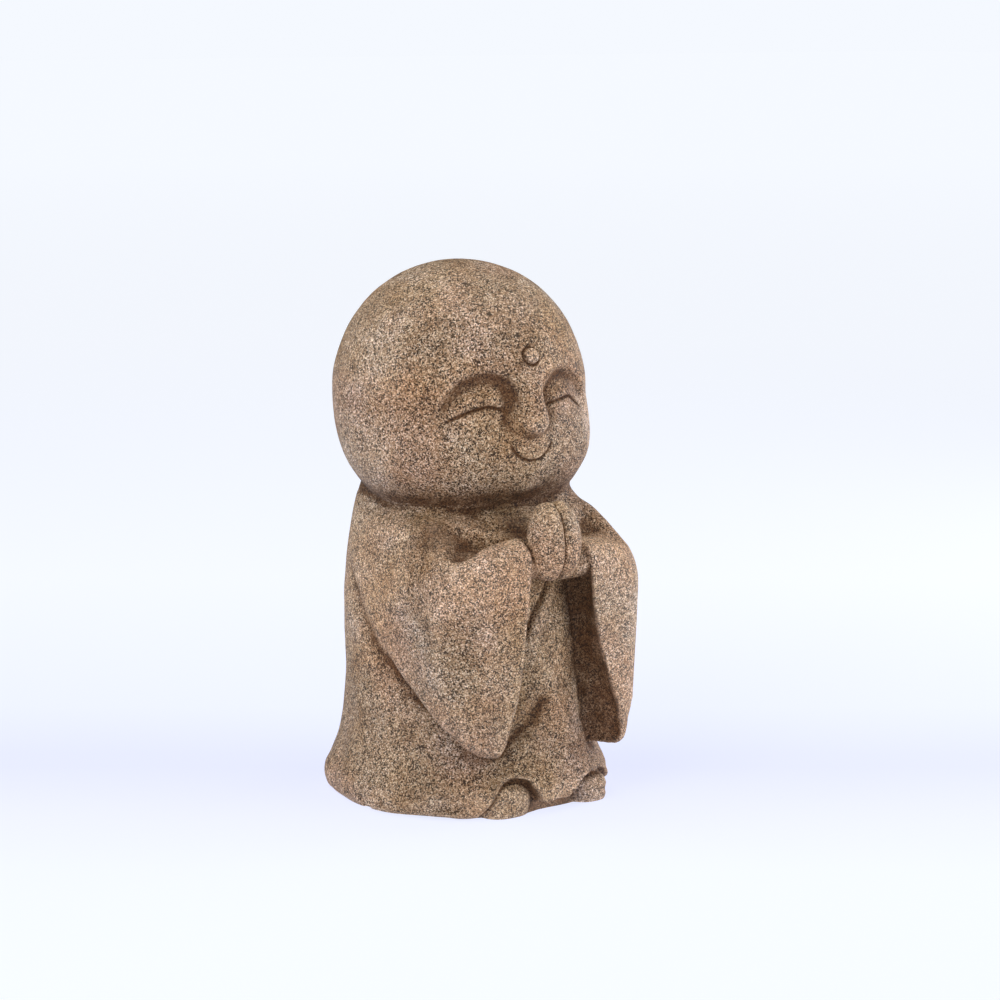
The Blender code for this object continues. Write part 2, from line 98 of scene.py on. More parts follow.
def flowing(points, count):
    """The Catmull-Rom curve: each span is a cubic whose slope at a point is half the way from
    the point before to the point after."""
    p = np.asarray(points, float)
    p = np.vstack([2 * p[0] - p[1], p, 2 * p[-1] - p[-2]])
    s = np.linspace(0, len(p) - 3 - 1e-9, count)
    k = s.astype(int)
    t = (s - k)[:, None]
    a, b, c, d = p[k], p[k + 1], p[k + 2], p[k + 3]
    return 0.5 * (2 * b + (c - a) * t + (2 * a - 5 * b + 4 * c - d) * t ** 2
                  + (3 * b - a - 3 * c + d) * t ** 3)


def along(points, x):
    """Reads the smooth curve through (x, value) points at every x."""
    line = flowing(points, 400)
    return np.interp(x, line[:, 0], line[:, 1])


# %% [markdown]
# ## Lines drawn on a skin
#
# Eyelids, mouth and folds are lines that the chisel follows. They could be cut with Booleans,
# which leave ragged edges on so fine a skin. So a line is a few points in the skin's own two
# coordinates, with a depth and a width that may change on the way. Each point of the skin is
# cut by the depth at the nearest place on the line, times a bell of the distance.

# %% Lines drawn on a skin
def drawn_line(across, up, path, depth, width, scale=1.0):
    """depth(s) * exp(-(distance / width(s)) ** 2), where s is the nearest place on the path.

    scale turns a step across into the same length as a step up."""
    share = np.linspace(0, 1, len(path))
    depths = np.interp(share, np.linspace(0, 1, len(depth)), depth)
    widths = np.interp(share, np.linspace(0, 1, len(width)), width)
    line = flowing(np.column_stack([path, depths, widths]), 90)
    gap = np.full(np.shape(across), np.inf)
    cut = np.zeros(np.shape(across))
    reach = np.ones(np.shape(across))
    for a, h, d, w in line:
        g = ((across - a) * scale) ** 2 + (up - h) ** 2
        closer = g < gap
        gap = np.where(closer, g, gap)
        cut = np.where(closer, d, cut)
        reach = np.where(closer, w, reach)
    return cut * np.exp(-gap / reach ** 2)


# %% [markdown]
# ## The lines of the face
#
# The face has two closed eyes, a small plain nose, a smile and a round mark. Seen from the
# middle of the head, each place on it has a turn and a tilt, and the lines are drawn in those,
# as on a globe. One half could be mirrored, but hand carving is never quite even, so each eye
# has its own line.

# %% The lines of the face
# turn and tilt in degrees
BROW = [(5.2, -6), (5.8, -1), (7.6, 4.2), (10.8, 8.6), (15.4, 11.6), (21, 12.5), (28.4, 11.2),
        (34.7, 8.2), (40.5, 2.6), (44.2, -3.5), (47, -12)]
RIGHT_EYE = [(-40.9, -9.9), (-37.1, -8.3), (-33.5, -6.8), (-29.0, -5.2), (-25.1, -4.2),
             (-22.3, -3.9), (-19.6, -4.4), (-15.6, -5.5), (-12.6, -6.0)]
LEFT_EYE = [(8.0, -5.2), (12.2, -4.3), (17.8, -3.2), (22.6, -2.4), (25.6, -2.5), (28.6, -3.8),
            (32, -5.7), (36.0, -8.0)]
MOUTH = [(-11.4, -20.4), (-9.9, -22.6), (-7.0, -25.0), (-3.6, -26.7), (-0.4, -27.3),
         (2.7, -26.9), (5.3, -25.5), (7.5, -23.5), (9.2, -20.6)]
# depth along each cut in mm, and its half width in degrees
EYE_CUT, EYE_WIDTH = [0.8, 2.0, 2.5, 2.5, 2.4, 2.4, 2.0, 1.2], 0.82
MOUTH_CUT, MOUTH_WIDTH = [0.8, 1.8, 2.1, 2.2, 2.1, 1.8, 0.8], 0.66
CUTS = [(RIGHT_EYE, EYE_CUT, EYE_WIDTH), (LEFT_EYE, EYE_CUT, EYE_WIDTH),
        (MOUTH, MOUTH_CUT, MOUTH_WIDTH)]
# tilt, and how far the bridge of the nose stands out in mm
NOSE_HEIGHT = [(-19.0, 0), (-17.2, 1.2), (-15.2, 5.4), (-12.8, 9.2), (-9.5, 10.4), (-5, 7.6),
               (1, 4.8), (7, 2.6), (13, 0.9), (18, 0)]
# half width of the nose in degrees at each tilt
NOSE_WIDTH = [-20, -15, -11, -5, 4, 14], [6.6, 7.6, 8.0, 6.9, 5.9, 6.6]
NOSE_SIDE = [(12.5, 6), (11.0, 1), (11.0, -4), (12.0, -9), (10.5, -14)]
NOSE_TURN = -1.8                 # the whole face looks a little to its right
MARK_TILT, MARK_SIZE = 18.1, 3.7
MARK_RING = 1.13                 # the cut round the mark, in its own size
print(len(CUTS), "cut lines, with", sum(len(line) for line, _, _ in CUTS), "points")

# %% [markdown]
# ## The face and the head
#
# The head is a ball, fuller below its middle, with cheeks that stand out further. It could be a
# sphere with nose and lids joined on, but the joins would show. So it is one number for every
# turn and tilt: the distance from its middle. What stands out (nose, eyelids, chin and mark) is
# added, and the sockets and the cuts are taken off. The left socket is shallower and begins
# nearer to the nose.

# %% The face and the head
def under_brow(side, tilt):
    """Degrees that a place lies below the brow: brow(side) - tilt."""
    return along(BROW, np.clip(side, 5.3, 46.8)) - tilt


def left_gap(across, tilt):
    """Degrees by which the left socket begins nearer to the nose."""
    return 2.8 * ramp(across, 2, 5) * ramp(tilt, -5, 3)


def from_mark(across, tilt):
    """Distance from the middle of the forehead mark, 1 at its rim."""
    return np.hypot(across, tilt - MARK_TILT) / MARK_SIZE


def face_relief(turn, tilt):
    """Millimetres that the face stands out from the plain head: bumps less hollows less cuts.
    Turn and tilt are in degrees."""
    across = turn * np.cos(np.radians(tilt))
    side = np.abs(across - NOSE_TURN)
    below, gap, apart = under_brow(side, tilt), left_gap(across, tilt), from_mark(across, tilt)
    socket = ramp(below, -0.6, 5.0) * (1 - 0.62 * ramp(below, 5.5, 15)) * ramp(tilt, -24, -9)
    inner = side - 3.5 * ramp(tilt, -2, 11) + gap
    socket = 5.8 * socket * ramp(inner, 5.5, 13.5) * ramp(side, 47, 38)
    socket = socket * (1 - 0.35 * ramp(across, 22, 38))
    hollow = 1.6 * bell(side - 19, 20) * bell(tilt + 4, 12)
    width = np.interp(tilt, *NOSE_WIDTH)
    bridge = along(NOSE_HEIGHT, np.clip(tilt - 0.045 * side ** 2, -18.9, 17.9))
    nose = np.maximum(bridge, 0) * np.exp(-((side + 0.5 * gap) / width) ** 3.0)
    lid = 1.8 * bell(side - 25, 11) * bell(tilt + 0.2 + 0.016 * (side - 22) ** 2, 3.0)
    lid = lid * (1 - 0.6 * ramp(across, 24, 34))
    chin = 1.6 * bell(side, 9) * bell(tilt + 39.5, 4)
    mark = 4.2 * np.clip(1 - apart ** 2, 0, 1) ** 0.42 - 1.7 * bell(apart - MARK_RING, 0.15)
    cuts = drawn_line(side + gap, tilt, NOSE_SIDE, [0.3, 2.0, 2.8, 2.2, 0.8], [4.2])
    for line, deep, wide in CUTS:
        cuts = cuts + drawn_line(across, tilt, line, deep, [wide])
    return nose + lid + chin + mark - socket - hollow - cuts


def head_reach(turn, tilt):
    """Distance from the head's middle to its skin. turn and tilt are in radians.

    radius * (cos^n + sin^n) ** (-1/n), with n 2 above and 2.5 below, plus cheeks and face."""
    power = np.where(tilt < 0, 2.5, 2.0)
    plain = HEAD_RADIUS * (np.cos(tilt) ** power + np.abs(np.sin(tilt)) ** power) ** (-1 / power)
    side, up = np.degrees(np.abs(turn)), np.degrees(tilt)
    plain = plain - MM * (1.3 * ramp(up, 0, 22) + 0.7 * ramp(up, 55, 90))
    cheeks = (0.45 + 0.55 * ramp(side, 8, 42)) * (1 - ramp(side, 68, 125)) * ramp(-up, 2, 30)
    relief = np.zeros(side.shape)
    front = (side < 62) & (np.abs(up) < 50)
    relief[front] = face_relief(np.degrees(turn)[front], up[front])
    return plain + MM * (9.0 * cheeks + relief)


def directions(rows, cols):
    """A grid of turns and tilts from pole to pole, in radians."""
    tilt, turn = np.meshgrid(np.linspace(-pi / 2, pi / 2, rows),
                             np.linspace(-pi, pi, cols, endpoint=False), indexing="ij")
    return turn, tilt


def towards(turn, tilt):
    """The unit vector for a turn from the front (-Y) and a tilt upwards."""
    return np.stack([np.cos(tilt) * np.sin(turn), -np.cos(tilt) * np.cos(turn), np.sin(tilt)], -1)


def head(rows=260, cols=480):
    """The head's rings: middle + reach * direction."""
    turn, tilt = directions(rows, cols)
    return HEAD_CENTRE + head_reach(turn, tilt)[..., None] * towards(turn, tilt)


# %% [markdown]
# ## The robe
#
# The robe is nearly a barrel that spreads at the hem. It could be draped as cloth, but a mason
# leaves only shallow folds in thick stone. So its form is a radius for every turn and height,
# and folds, collar and lapel are lines on it.

# %% The lines of the robe
# height and radius, in millimetres
ROBE_OUTLINE = [(-8, 98), (0, 100.7), (3, 103.8), (8, 105.8), (13, 106.6), (19, 105.6),
                (27, 101.8), (42, 96.4), (57, 93.6), (72, 92.2), (94, 91), (125, 92), (150, 92),
                (176, 90.2), (192, 88.2), (207, 85.6), (222, 81), (232, 77), (242, 66), (252, 44)]
# how far the flat front stands back from that, and the neck on the right and in front
FRONT_OUTLINE = [(0, 1), (20, 0), (60, -3), (90, -1), (130, 2), (165, 4), (185, 2), (196, 2),
                 (204, 6), (220, 8), (236, 11)]
NECK = [(204, 0), (212, 2), (217, 6), (222, 13), (228, 19), (240, 22), (252, 20)]
# the sleeve's edge on the robe, as turns in degrees and heights in millimetres
UNDER_SLEEVE = [(106, 180), (100, 160), (92, 141), (83, 121), (72, 104), (63, 89), (54, 79),
                (45, 68)]
# for each line: both sides or one, turns and heights, how far out (minus is in), half width
ROBE_LINES = {
    "chest fold": (False, [(-50, 219), (-40, 214.5), (-30, 209), (-20, 203)],
                   [0.6, 3.2, 3.4, 2.0], [3.4]),
    "hollow above it": (False, [(-42, 223), (-33, 218), (-24, 212), (-15, 206)],
                        [-0.6, -3.0, -3.4, -1.2], [5.0]),
    "collar": (True, [(84, 228), (62, 221), (45, 216), (28, 210), (12, 202), (0, 195)],
               [0.5, 2.4, 3.8, 4.0, 3.8, 2.6], [4.6, 4.0]),
    "lapel's edge": (False, [(7.5, 171), (1.2, 156), (-4.2, 144), (-9, 128), (-14, 112)],
                     [-3.4, -4.6, -4.2, -2.2, -0.3], [1.5, 1.8]),
    "lapel's roll": (False, [(12, 171), (5.6, 157), (0.4, 144), (-4.8, 127), (-10, 110)],
                     [1.2, 2.6, 2.6, 1.6, 0.4], [4.4, 5.4]),
    "skirt fold": (False, [(4, 100), (1, 84), (-4, 73), (-9.5, 65), (-17, 55), (-23, 47),
                           (-32, 38)], [-0.4, -2.6, -4.4, -5.0, -4.2, -2.4, -0.6], [6.0, 6.6]),
    "skirt ridge": (False, [(-3, 140), (-2, 118), (3, 96), (12, 66), (20, 46)],
                    [0.8, 2.0, 2.8, 2.2, 1.0], [7.5]),
    "side fold": (False, [(30, 96), (27, 74), (31, 52), (38, 34)], [-0.3, -1.8, -2.2, -0.4], [5.0]),
    "under the sleeve": (True, UNDER_SLEEVE, [-0.3, -3.0, -3.6, -3.6, -3.0, -0.8], [7.0])}
# turn in degrees and radius in millimetres of the block under the hem
UNDER_HEM = [-45, -30, -24, -10, -5, -1, 6, 12, 18, 32, 44, 60], \
            [98, 96, 95.5, 95, 92.5, 90.4, 90.6, 92.5, 94.5, 96, 97.5, 99]
NOTCH_TURN = -83.8               # a chip in the hem on the right
DEGREE = 1.65                    # millimetres along the robe for each degree of turn
print("lines on the robe:", ", ".join(ROBE_LINES))

# %% [markdown]
# ## The robe's formula
#
# To the barrel come the flatter chest, the shoulders, the neck, the lines of the table, waves
# that make the hem less perfect, and the hem itself. It lifts in an arch over each toe, with a
# lobe between them, and under it the stone steps back to the block. As one sum, every part
# keeps its place when another is changed.

# %% The robe's formula
def hem_height(turn):
    """Lower edge of the robe in mm: the highest of two arches and the lobe between them."""
    right = 28.5 * np.exp(-np.abs((turn + 15.5) / 11.8) ** 3)
    left = 21.5 * np.exp(-np.abs((turn - 28.5) / 19.5) ** 3)
    lobe = 9.0 * np.exp(-((turn - 4) / 14.0) ** 4)
    return np.maximum(np.maximum(right, left), lobe)


def robe_reach(turn, z):
    """Distance from the upright axis to the robe, for a turn in radians and a height: outline
    less front, plus shoulders, less neck, plus lines and waves, with the hem's step below."""
    up, deg = z / MM, np.degrees(turn)
    side = np.abs(deg)
    front = 1 - ramp(side, 25, 62)
    r = along(ROBE_OUTLINE, up) - front * along(FRONT_OUTLINE, up)
    r += 10 * bell(side - 56, 24) * bell(up - 206, 11)
    r -= along(NECK, up) * ramp(deg, -122, -78) * ramp(deg, 42, 12)
    r += 7 * bell(side - 38, 17) * ramp(up, 206, 186) * ramp(up, 150, 170)
    for both, path, out, wide in ROBE_LINES.values():
        r += drawn_line(side if both else deg, up, path, out, wide, DEGREE)
    wave = 0.9 * np.sin(5 * turn + 0.7) + 0.7 * np.sin(9 * turn + 1.9) + 0.4 * np.sin(14 * turn)
    r += wave * ramp(up, 95, 12) * ramp(side, 30, 60)
    r -= 5.0 * bell(deg - NOTCH_TURN, 1.5) * ramp(up, 15, 5)
    lift = 2.6 + 1.1 * np.sin(3 * turn + 0.4) + 0.9 * np.sin(8 * turn + 2.2)
    step_back = 3.0 + 3.2 * bell(deg + 50, 14) - 2.0 * bell(deg + 96, 24)
    r -= step_back * ramp(lift - up, -0.8, 0.8) * ramp(side, 34, 46) * ramp(side, 112, 96)
    below = ramp(hem_height(deg) - up, -0.8, 0.8) * ramp(side, 60, 52)
    under = np.interp(deg, *UNDER_HEM)
    r = r * (1 - below) + np.minimum(under, r) * below
    lip = 1.5 * bell(hem_height(deg) - up + 2.6, 2.6) * ramp(side, 54, 44)
    return MM * (r + lip)


def robe(rows=340, cols=640):
    """The robe's rings: axis + reach * direction, closed inside the head and below the ground."""
    z, turn = np.meshgrid(np.linspace(ROBE_FOOT, ROBE_TOP, rows),
                          np.linspace(-pi, pi, cols, endpoint=False), indexing="ij")
    r = robe_reach(turn, z)
    back = np.interp(z, [0.2, ROBE_TOP], [0, 0.006])
    rings = np.stack([r * np.sin(turn), back - r * np.cos(turn), z], -1)
    rings[0], rings[-1] = [0, 0, ROBE_FOOT], [0, 0.006, ROBE_TOP]
    return rings


# %% [markdown]
# ## Arms and sleeves
#
# Upper arm, forearm and hanging cloth are one form, like a rope of clay. They could be three
# pieces, but on the real one they flow into each other. So one cross-section is carried forward
# along the side, round the elbow and across the front. It is short at the back of the arm and
# reaches almost down to the hem in front.

# %% The sizes of the sleeves
ARM_SIDE, ARM_FRONT, ARM_CORNER, ARM_BACK = 0.092, 0.114, 0.034, 0.030
# run along the arm, lowest point, highest point, thickness, depth of the crest, drop inside it,
# rounded hem (mm)
ARM_STATIONS = np.array([
    [0, 181, 199, 30, 15, 15, 3],
    [28, 149, 211, 44, 22, 40, 5],
    [61, 111, 219.5, 60, 28, 60, 6],
    [92, 90, 214, 66, 22, 60, 7],
    [118, 75, 197, 64, 11, 50, 8],
    [138, 65, 196, 58, 14, 38, 9],
    [165, 53, 202, 46, 20, 24, 9],
    [200, 46, 207, 38, 19, 12, 8]], float)
# height and distance from the middle of each sleeve's front edge, and how far the face of the
# sleeve stands back, by height (mm)
RIGHT_EDGE = [(40, 54), (50, 47.5), (57, 43.5), (72, 39), (85, 34.4), (102, 31), (120, 29),
              (141, 27.3), (162, 26.0), (182, 23.8), (193, 23.4), (200, 24.8), (207, 28.5),
              (212, 34)]
LEFT_EDGE = [(40, 75), (54, 69), (61, 66), (72, 60.5), (86, 54), (103, 47.6), (118, 42),
             (128, 39), (140, 36), (151, 33.5), (166, 31.5), (178, 30.5), (190, 29), (200, 28),
             (207, 30), (212, 34)]
SLEEVE_FACE = [(40, 5.6), (75, 4.3), (110, 2.8), (130, 1.9), (150, 0.9), (170, 0.1), (185, 0.4),
               (205, 1.5)]
# how much further to the middle the inner edge of a sleeve's mouth reaches, by height (mm)
RIGHT_MOUTH = [(40, 9), (210, 9)]
LEFT_MOUTH = [(40, 27), (50, 22), (70, 18), (95, 13.5), (125, 8), (160, 5.5), (210, 5)]
RIM = 2.6                        # radius of the rim round the mouth (mm)
print(len(ARM_STATIONS), "sections along each arm, up to", ARM_STATIONS[:, 2].max(), "mm high")

# %% [markdown]
# ## Carrying the section round
#
# The section is drawn stroke by stroke. A bevelled curve carries a section too, but always the
# same one, and here it changes all the way. So its outer face follows the way, and every other
# point keeps its depth behind that face.

# %% Carrying the section round
def arm_section(run, cols):
    """Depth behind the outer face and height of each point round the section, both in mm.

    Seven strokes follow each other: outer hem, outer face, the round up to the crest, the slope
    inside it (round at the shoulder, hollow at the elbow), inner face, inner hem, bottom."""
    places, columns = ARM_STATIONS[:, 0], ARM_STATIONS.T[1:]
    low, high, thick, crest, top, hem = [along(np.column_stack([places, column]), run)[:, None]
                                         for column in columns]
    fit = np.minimum(1, 0.98 * (high - low) / (top + hem))
    top, hem = top * fit, hem * fit
    q = np.linspace(0, 7, cols, endpoint=False)[None, :]
    stroke = [np.clip(q - k, 0, 1) for k in range(7)]
    arc = [s * pi / 2 for s in stroke]
    foot = np.minimum(hem, 0.45 * thick)
    hollowed = 2.2 - 1.3 * ramp(run, 70, 112)[:, None]
    depth = (foot * (np.sin(arc[0]) - 1) - crest * (1 - np.cos(arc[2]))
             - (thick - crest) * stroke[3] + foot * (1 - np.cos(arc[5]))
             + (thick - 2 * foot) * stroke[6])
    height = (low + hem * (1 - np.cos(arc[0])) + (high - top - low - hem) * (stroke[1] - stroke[4])
              + top * (np.sin(arc[2]) - stroke[3] ** hollowed) - hem * np.sin(arc[5]))
    return depth, height


def closing(ring, steps, bulge):
    """Rings that close an end: the ring shrinks to its middle by a quarter of a circle, and
    bulges (or sinks) by a quarter of a sine."""
    middle = ring.mean(0)
    angle = (np.arange(1, steps + 1) / steps * pi / 2)[:, None, None]
    return middle + (ring - middle) * np.cos(angle) ** 0.7 + np.array(bulge) * np.sin(angle)


def arm(front_edge, mouth, hang, draw_in, stoop, rows=260, cols=294):
    """The section carried along the way: straight, a quarter turn at the elbow, straight. The
    last part is drawn in by a quarter circle, which rounds the rim of the sleeve.

    hang lowers this sleeve's hem in front, draw_in sets its lowest part back, and stoop sinks
    its top on the way to the hand, after a slight rise at the elbow (mm)."""
    corner_x, corner_y = ARM_SIDE - ARM_CORNER, ARM_CORNER - ARM_FRONT
    straight, bend = ARM_BACK - corner_y, ARM_CORNER * pi / 2
    share = np.sin(np.linspace(0, pi / 2, rows))
    full = straight + bend + corner_x - 0.024
    depth, height = arm_section(share * full / MM, cols)
    last = np.clip(1 - (1 - share) * full / (RIM * MM), 0, 1)[:, None]
    drawn = 2 * RIM * (1 - np.sqrt(1 - last ** 2))
    for values in (depth, height):
        low, high = values.min(1, keepdims=True), values.max(1, keepdims=True)
        values += ((low + high) / 2 - values) * drawn / (high - low)
    height = height - hang * ramp(share[:, None], 0.5, 0.85) * ramp(height, 110, 60)
    leaning = ramp(share[:, None], 0.40, 0.75) - 0.8 * bell(share[:, None] - 0.44, 0.08)
    height = height - stoop * ramp(height, 150, 205) * leaning
    inside = np.clip((-depth - 1) / 28, 0, 1)
    edge = MM * (along(front_edge, height) - along(mouth, height) * inside)
    run = share[:, None] * (straight + bend + corner_x - edge)
    depth = MM * (depth - along(SLEEVE_FACE, height) - draw_in * ramp(height, 78, 56))
    angle = np.clip((run - straight) / bend, 0, 1) * pi / 2
    ahead = np.minimum(run, straight)
    across = np.maximum(run - straight - bend, 0)
    back_y = ARM_BACK - ahead
    tuck = ARM_SIDE - np.sqrt(np.clip(ARM_SIDE ** 2 - np.maximum(back_y, 0) ** 2, 0, None))
    x = corner_x + (ARM_CORNER + depth) * np.cos(angle) - across - tuck
    y = back_y - (ARM_CORNER + depth) * np.sin(angle)
    rings = np.stack([x, y, MM * height], -1)
    return np.concatenate([closing(rings[0], 8, (0, 0.003, 0))[::-1], rings,
                           closing(rings[-1], 14, (0.003, 0, 0))])


# %% [markdown]
# ## Palms, toes and the crook of the arm
#
# The palms are pressed together, and no fingers are cut. A palm could be a flattened ball, but
# it would touch the other in one spot. So it is carried from the heel of the hand to the
# fingertips, flat on the inside and a half oval on the outside. Small eggs make the wrists, and
# the stone left standing in the crook of each arm, where a chisel can't reach. A toe is a
# boxier egg.

# %% Palms, toes and the crook of the arm
# middle y and z, thickness, half width, from heel to fingertips (mm)
PALM_STATIONS = np.array([
    [-103.5, 184.5, 18.5, 14.0],
    [-105.9, 192, 20.3, 16.2],
    [-106.7, 203, 20.8, 16.2],
    [-106.3, 213, 19.4, 14.8],
    [-104.7, 221, 16.4, 12.2],
    [-102.7, 226.5, 12.6, 8.6]], float)
# middle and half sizes in metres, and the power that makes it boxy
EGGS = {
    "left crook": ((0.062, -0.073, 0.177), (0.029, 0.028, 0.0205), 2.0),
    "right crook": ((-0.062, -0.073, 0.177), (0.029, 0.028, 0.0205), 2.0),
    "left wrist": ((0.024, -0.0975, 0.1845), (0.0205, 0.013, 0.0125), 2.0),
    "right wrist": ((-0.020, -0.0975, 0.1875), (0.0205, 0.013, 0.0125), 2.0),
    "left toe": ((0.047, -0.0765, 0.008), (0.0175, 0.0235, 0.0142), 2.6),
    "right toe": ((-0.0283, -0.079, 0.0095), (0.0208, 0.0205, 0.0175), 2.6)}


def palm(rows=100, cols=120):
    """The left palm's rings: x = thickness * cos (only a little behind the middle plane), and
    width * sin across, each raised to a power that makes the oval fuller."""
    s = flowing(PALM_STATIONS, rows) * MM
    way = np.gradient(np.column_stack([0 * s[:, 0], s[:, :2]]), axis=0)
    way /= np.linalg.norm(way, axis=1)[:, None]
    forward = np.cross(way, [1.0, 0, 0])
    forward = (forward / np.linalg.norm(forward, axis=1)[:, None])[:, None, :]
    a = np.linspace(0, 2 * pi, cols, endpoint=False)[None, :]
    half_oval = s[:, 2:3] * np.abs(np.cos(a)) ** 0.84
    out = np.where(np.cos(a) > 0, half_oval, -0.0008 * np.abs(np.cos(a)) ** 0.3)
    wide = s[:, 3:4] * np.sign(np.sin(a)) * np.abs(np.sin(a)) ** 0.84
    middle = np.column_stack([0 * s[:, 0], s[:, :2]])[:, None, :]
    rings = middle + out[..., None] * np.array([1.0, 0, 0]) + wide[..., None] * forward
    tips = [closing(rings[i], 12, way[i] * h) for i, h in ((0, -0.0085), (-1, 0.0045))]
    return np.concatenate([tips[0][::-1], rings, tips[1]])


def egg(middle, size, power, rows=60, cols=80):
    """A ball drawn out to three half sizes: middle + size * direction. A power above 2 makes it
    boxier, because the direction is divided by its own length measured with that power."""
    turn, tilt = directions(rows, cols)
    way = towards(turn, tilt)
    length = (np.abs(way) ** power).sum(-1, keepdims=True) ** (1 / power)
    return middle + way / length * size


def mirrored(rings):
    """The other side: x changes its sign, and each ring runs backwards to keep faces outward."""
    return (rings * [-1, 1, 1])[:, ::-1]


print(len(PALM_STATIONS), "sections along each palm, and eggs for", ", ".join(EGGS))

# %% [markdown]
# ## One block
#
# The statue is cut from one stone, so its forms have to become one skin. Booleans could join
# them, but they often fail where two skins nearly touch. The Remesh modifier fills the forms
# with small cells and draws one new skin round them, so every overlap becomes solid stone. Each
# form goes in as a grid of rings, whose faces come from whole arrays of corner numbers.

# %% One block
CELL = 0.0011                    # 1.1 mm, fine enough for the folds


def ring_faces(rows, cols, shift):
    """Corner numbers of a grid of rings whose first and last ring are one point each."""
    j = np.arange(cols)
    nxt = (j + 1) % cols
    row = np.arange(rows - 3)[:, None] * cols + 1
    quads = np.stack([row + j, row + nxt, row + nxt + cols, row + j + cols], -1).reshape(-1, 4)
    top = 1 + (rows - 3) * cols
    last = top + cols
    fans = np.concatenate([np.stack([0 * j, 1 + nxt, 1 + j], -1),
                           np.stack([top + j, top + nxt, last + 0 * j], -1)])
    return (quads + shift).tolist() + (fans + shift).tolist()


def mesh_of_rings(name, forms):
    """One mesh from several forms that may overlap."""
    points, faces, shift = [], [], 0
    for rings in forms:
        rows, cols = rings.shape[:2]
        faces += ring_faces(rows, cols, shift)
        points += [rings[0].mean(0)[None], rings[1:-1].reshape(-1, 3), rings[-1].mean(0)[None]]
        shift += 2 + (rows - 2) * cols
    mesh = bpy.data.meshes.new(name)
    mesh.from_pydata(np.concatenate(points).tolist(), [], faces)
    return mesh


def shown(name, data):
    """A new object in the scene that shows a mesh, a lamp or a camera."""
    made = bpy.data.objects.new(name, data)
    bpy.context.scene.collection.objects.link(made)
    return made


def evaluated(mesh, kind, **settings):
    """The mesh as it comes out of one modifier."""
    holder = shown("holder", mesh)
    modifier = holder.modifiers.new(kind.lower(), kind)
    for name, value in settings.items():
        setattr(modifier, name, value)
    graph = bpy.context.evaluated_depsgraph_get()
    result = bpy.data.meshes.new_from_object(holder.evaluated_get(graph))
    bpy.data.objects.remove(holder)
    return result


forms = [head(), robe(), arm(LEFT_EDGE, LEFT_MOUTH, hang=6.0, draw_in=3.0, stoop=4.5),
         mirrored(arm(RIGHT_EDGE, RIGHT_MOUTH, hang=-1.0, draw_in=0.0, stoop=0.0)),
         palm(), mirrored(palm())] + [egg(*numbers) for numbers in EGGS.values()]
rough = mesh_of_rings("rough_forms", forms)
block = evaluated(rough, "REMESH", mode="VOXEL", voxel_size=CELL)
print(len(forms), "forms,", len(rough.vertices), "points, fused to", len(block.vertices))

# %% [markdown]
# ## Wear
#
# Rain and hands have rounded the stone. The Smooth modifier could do it with a painted group,
# but here the strength follows from the place. Every point moves part of the way to the middle
# of its neighbours, again and again, by a share from 0 to 1: a little everywhere, and a lot on
# the shoulders, the nape and the crooks of the arms.

# %% Wear
def read(items, name, per_item, kind=np.int32):
    """One property of all points, edges or faces: an array with a row for each of them."""
    flat = np.empty(per_item * len(items), kind)
    items.foreach_get(name, flat)
    return flat.reshape(-1, per_item)


def worn(points, edges, share, rounds):
    """Each round: point + share * (middle of the neighbours - point)."""
    a, b = edges.T
    count = np.bincount(edges.ravel(), minlength=len(points))
    for _ in range(rounds):
        total = [np.bincount(a, c[b], len(c)) + np.bincount(b, c[a], len(c)) for c in points.T]
        points = points + share[:, None] * (np.stack(total, -1) / count[:, None] - points)
    return points


points = read(block.vertices, "co", 3, np.float32).astype(float)
edges = read(block.edges, "vertices", 2)
x, y, z = points.T
shoulder = window(z, 0.172, 0.190, 0.232, 0.246) * ramp(y, -0.072, -0.042)
shoulder = shoulder * ramp(np.abs(x), 0.030, 0.050)
nape = bell(z - 0.234, 0.008) * ramp(y, -0.045, -0.010)
crook = bell(np.hypot(np.abs(x) - 0.066, y + 0.077), 0.023)
crook = crook * ramp(z, 0.170, 0.182) * ramp(z, 0.226, 0.212)
points = worn(points, edges, np.full(len(points), 0.5), 3)
points = worn(points, edges, 0.6 * np.maximum(shoulder, np.maximum(0.5 * nape, 0.9 * crook)), 80)
block.vertices.foreach_set("co", points.astype(np.float32).ravel())
print("worn over", int((shoulder > 0.5).sum()), "points of the shoulders")

# %% [markdown]
# ## Thinning and the flat underside
#
# The quiet places of the skin need far fewer triangles than the cells gave them. The Decimate
# modifier joins edges where the skin is nearly flat. Then one level cut takes off what hangs
# below the ground, and a flat face closes it, because the real one stands flat.

# %% Thinning and the flat underside
BODY_TRIANGLES = 126000
thin = evaluated(block, "DECIMATE", ratio=BODY_TRIANGLES / (2 * len(block.polygons)))
saw = bmesh.new()
saw.from_mesh(thin)
bmesh.ops.bisect_plane(saw, geom=saw.verts[:] + saw.edges[:] + saw.faces[:], dist=1e-6,
                       plane_co=(0, 0, 0), plane_no=(0, 0, 1), clear_inner=True)
bmesh.ops.holes_fill(saw, edges=[e for e in saw.edges if e.is_boundary], sides=0)
bmesh.ops.triangulate(saw, faces=saw.faces[:])
saw.to_mesh(thin)
saw.free()
triangles = read(thin.polygons, "vertices", 3)
points = read(thin.vertices, "co", 3, np.float32).astype(float)
print("thinned to", len(triangles), "triangles, lowest point", points[:, 2].min())

# %% [markdown]
# ## Finer where the chisel goes
#
# The lines of the face are under 2 mm wide. Smaller cells would show them, but at many times
# the triangles. So only there, every edge that is too long gets a new point in its middle. A
# triangle with one, two or three such edges is cut into two, three or four, so the skin stays
# closed.

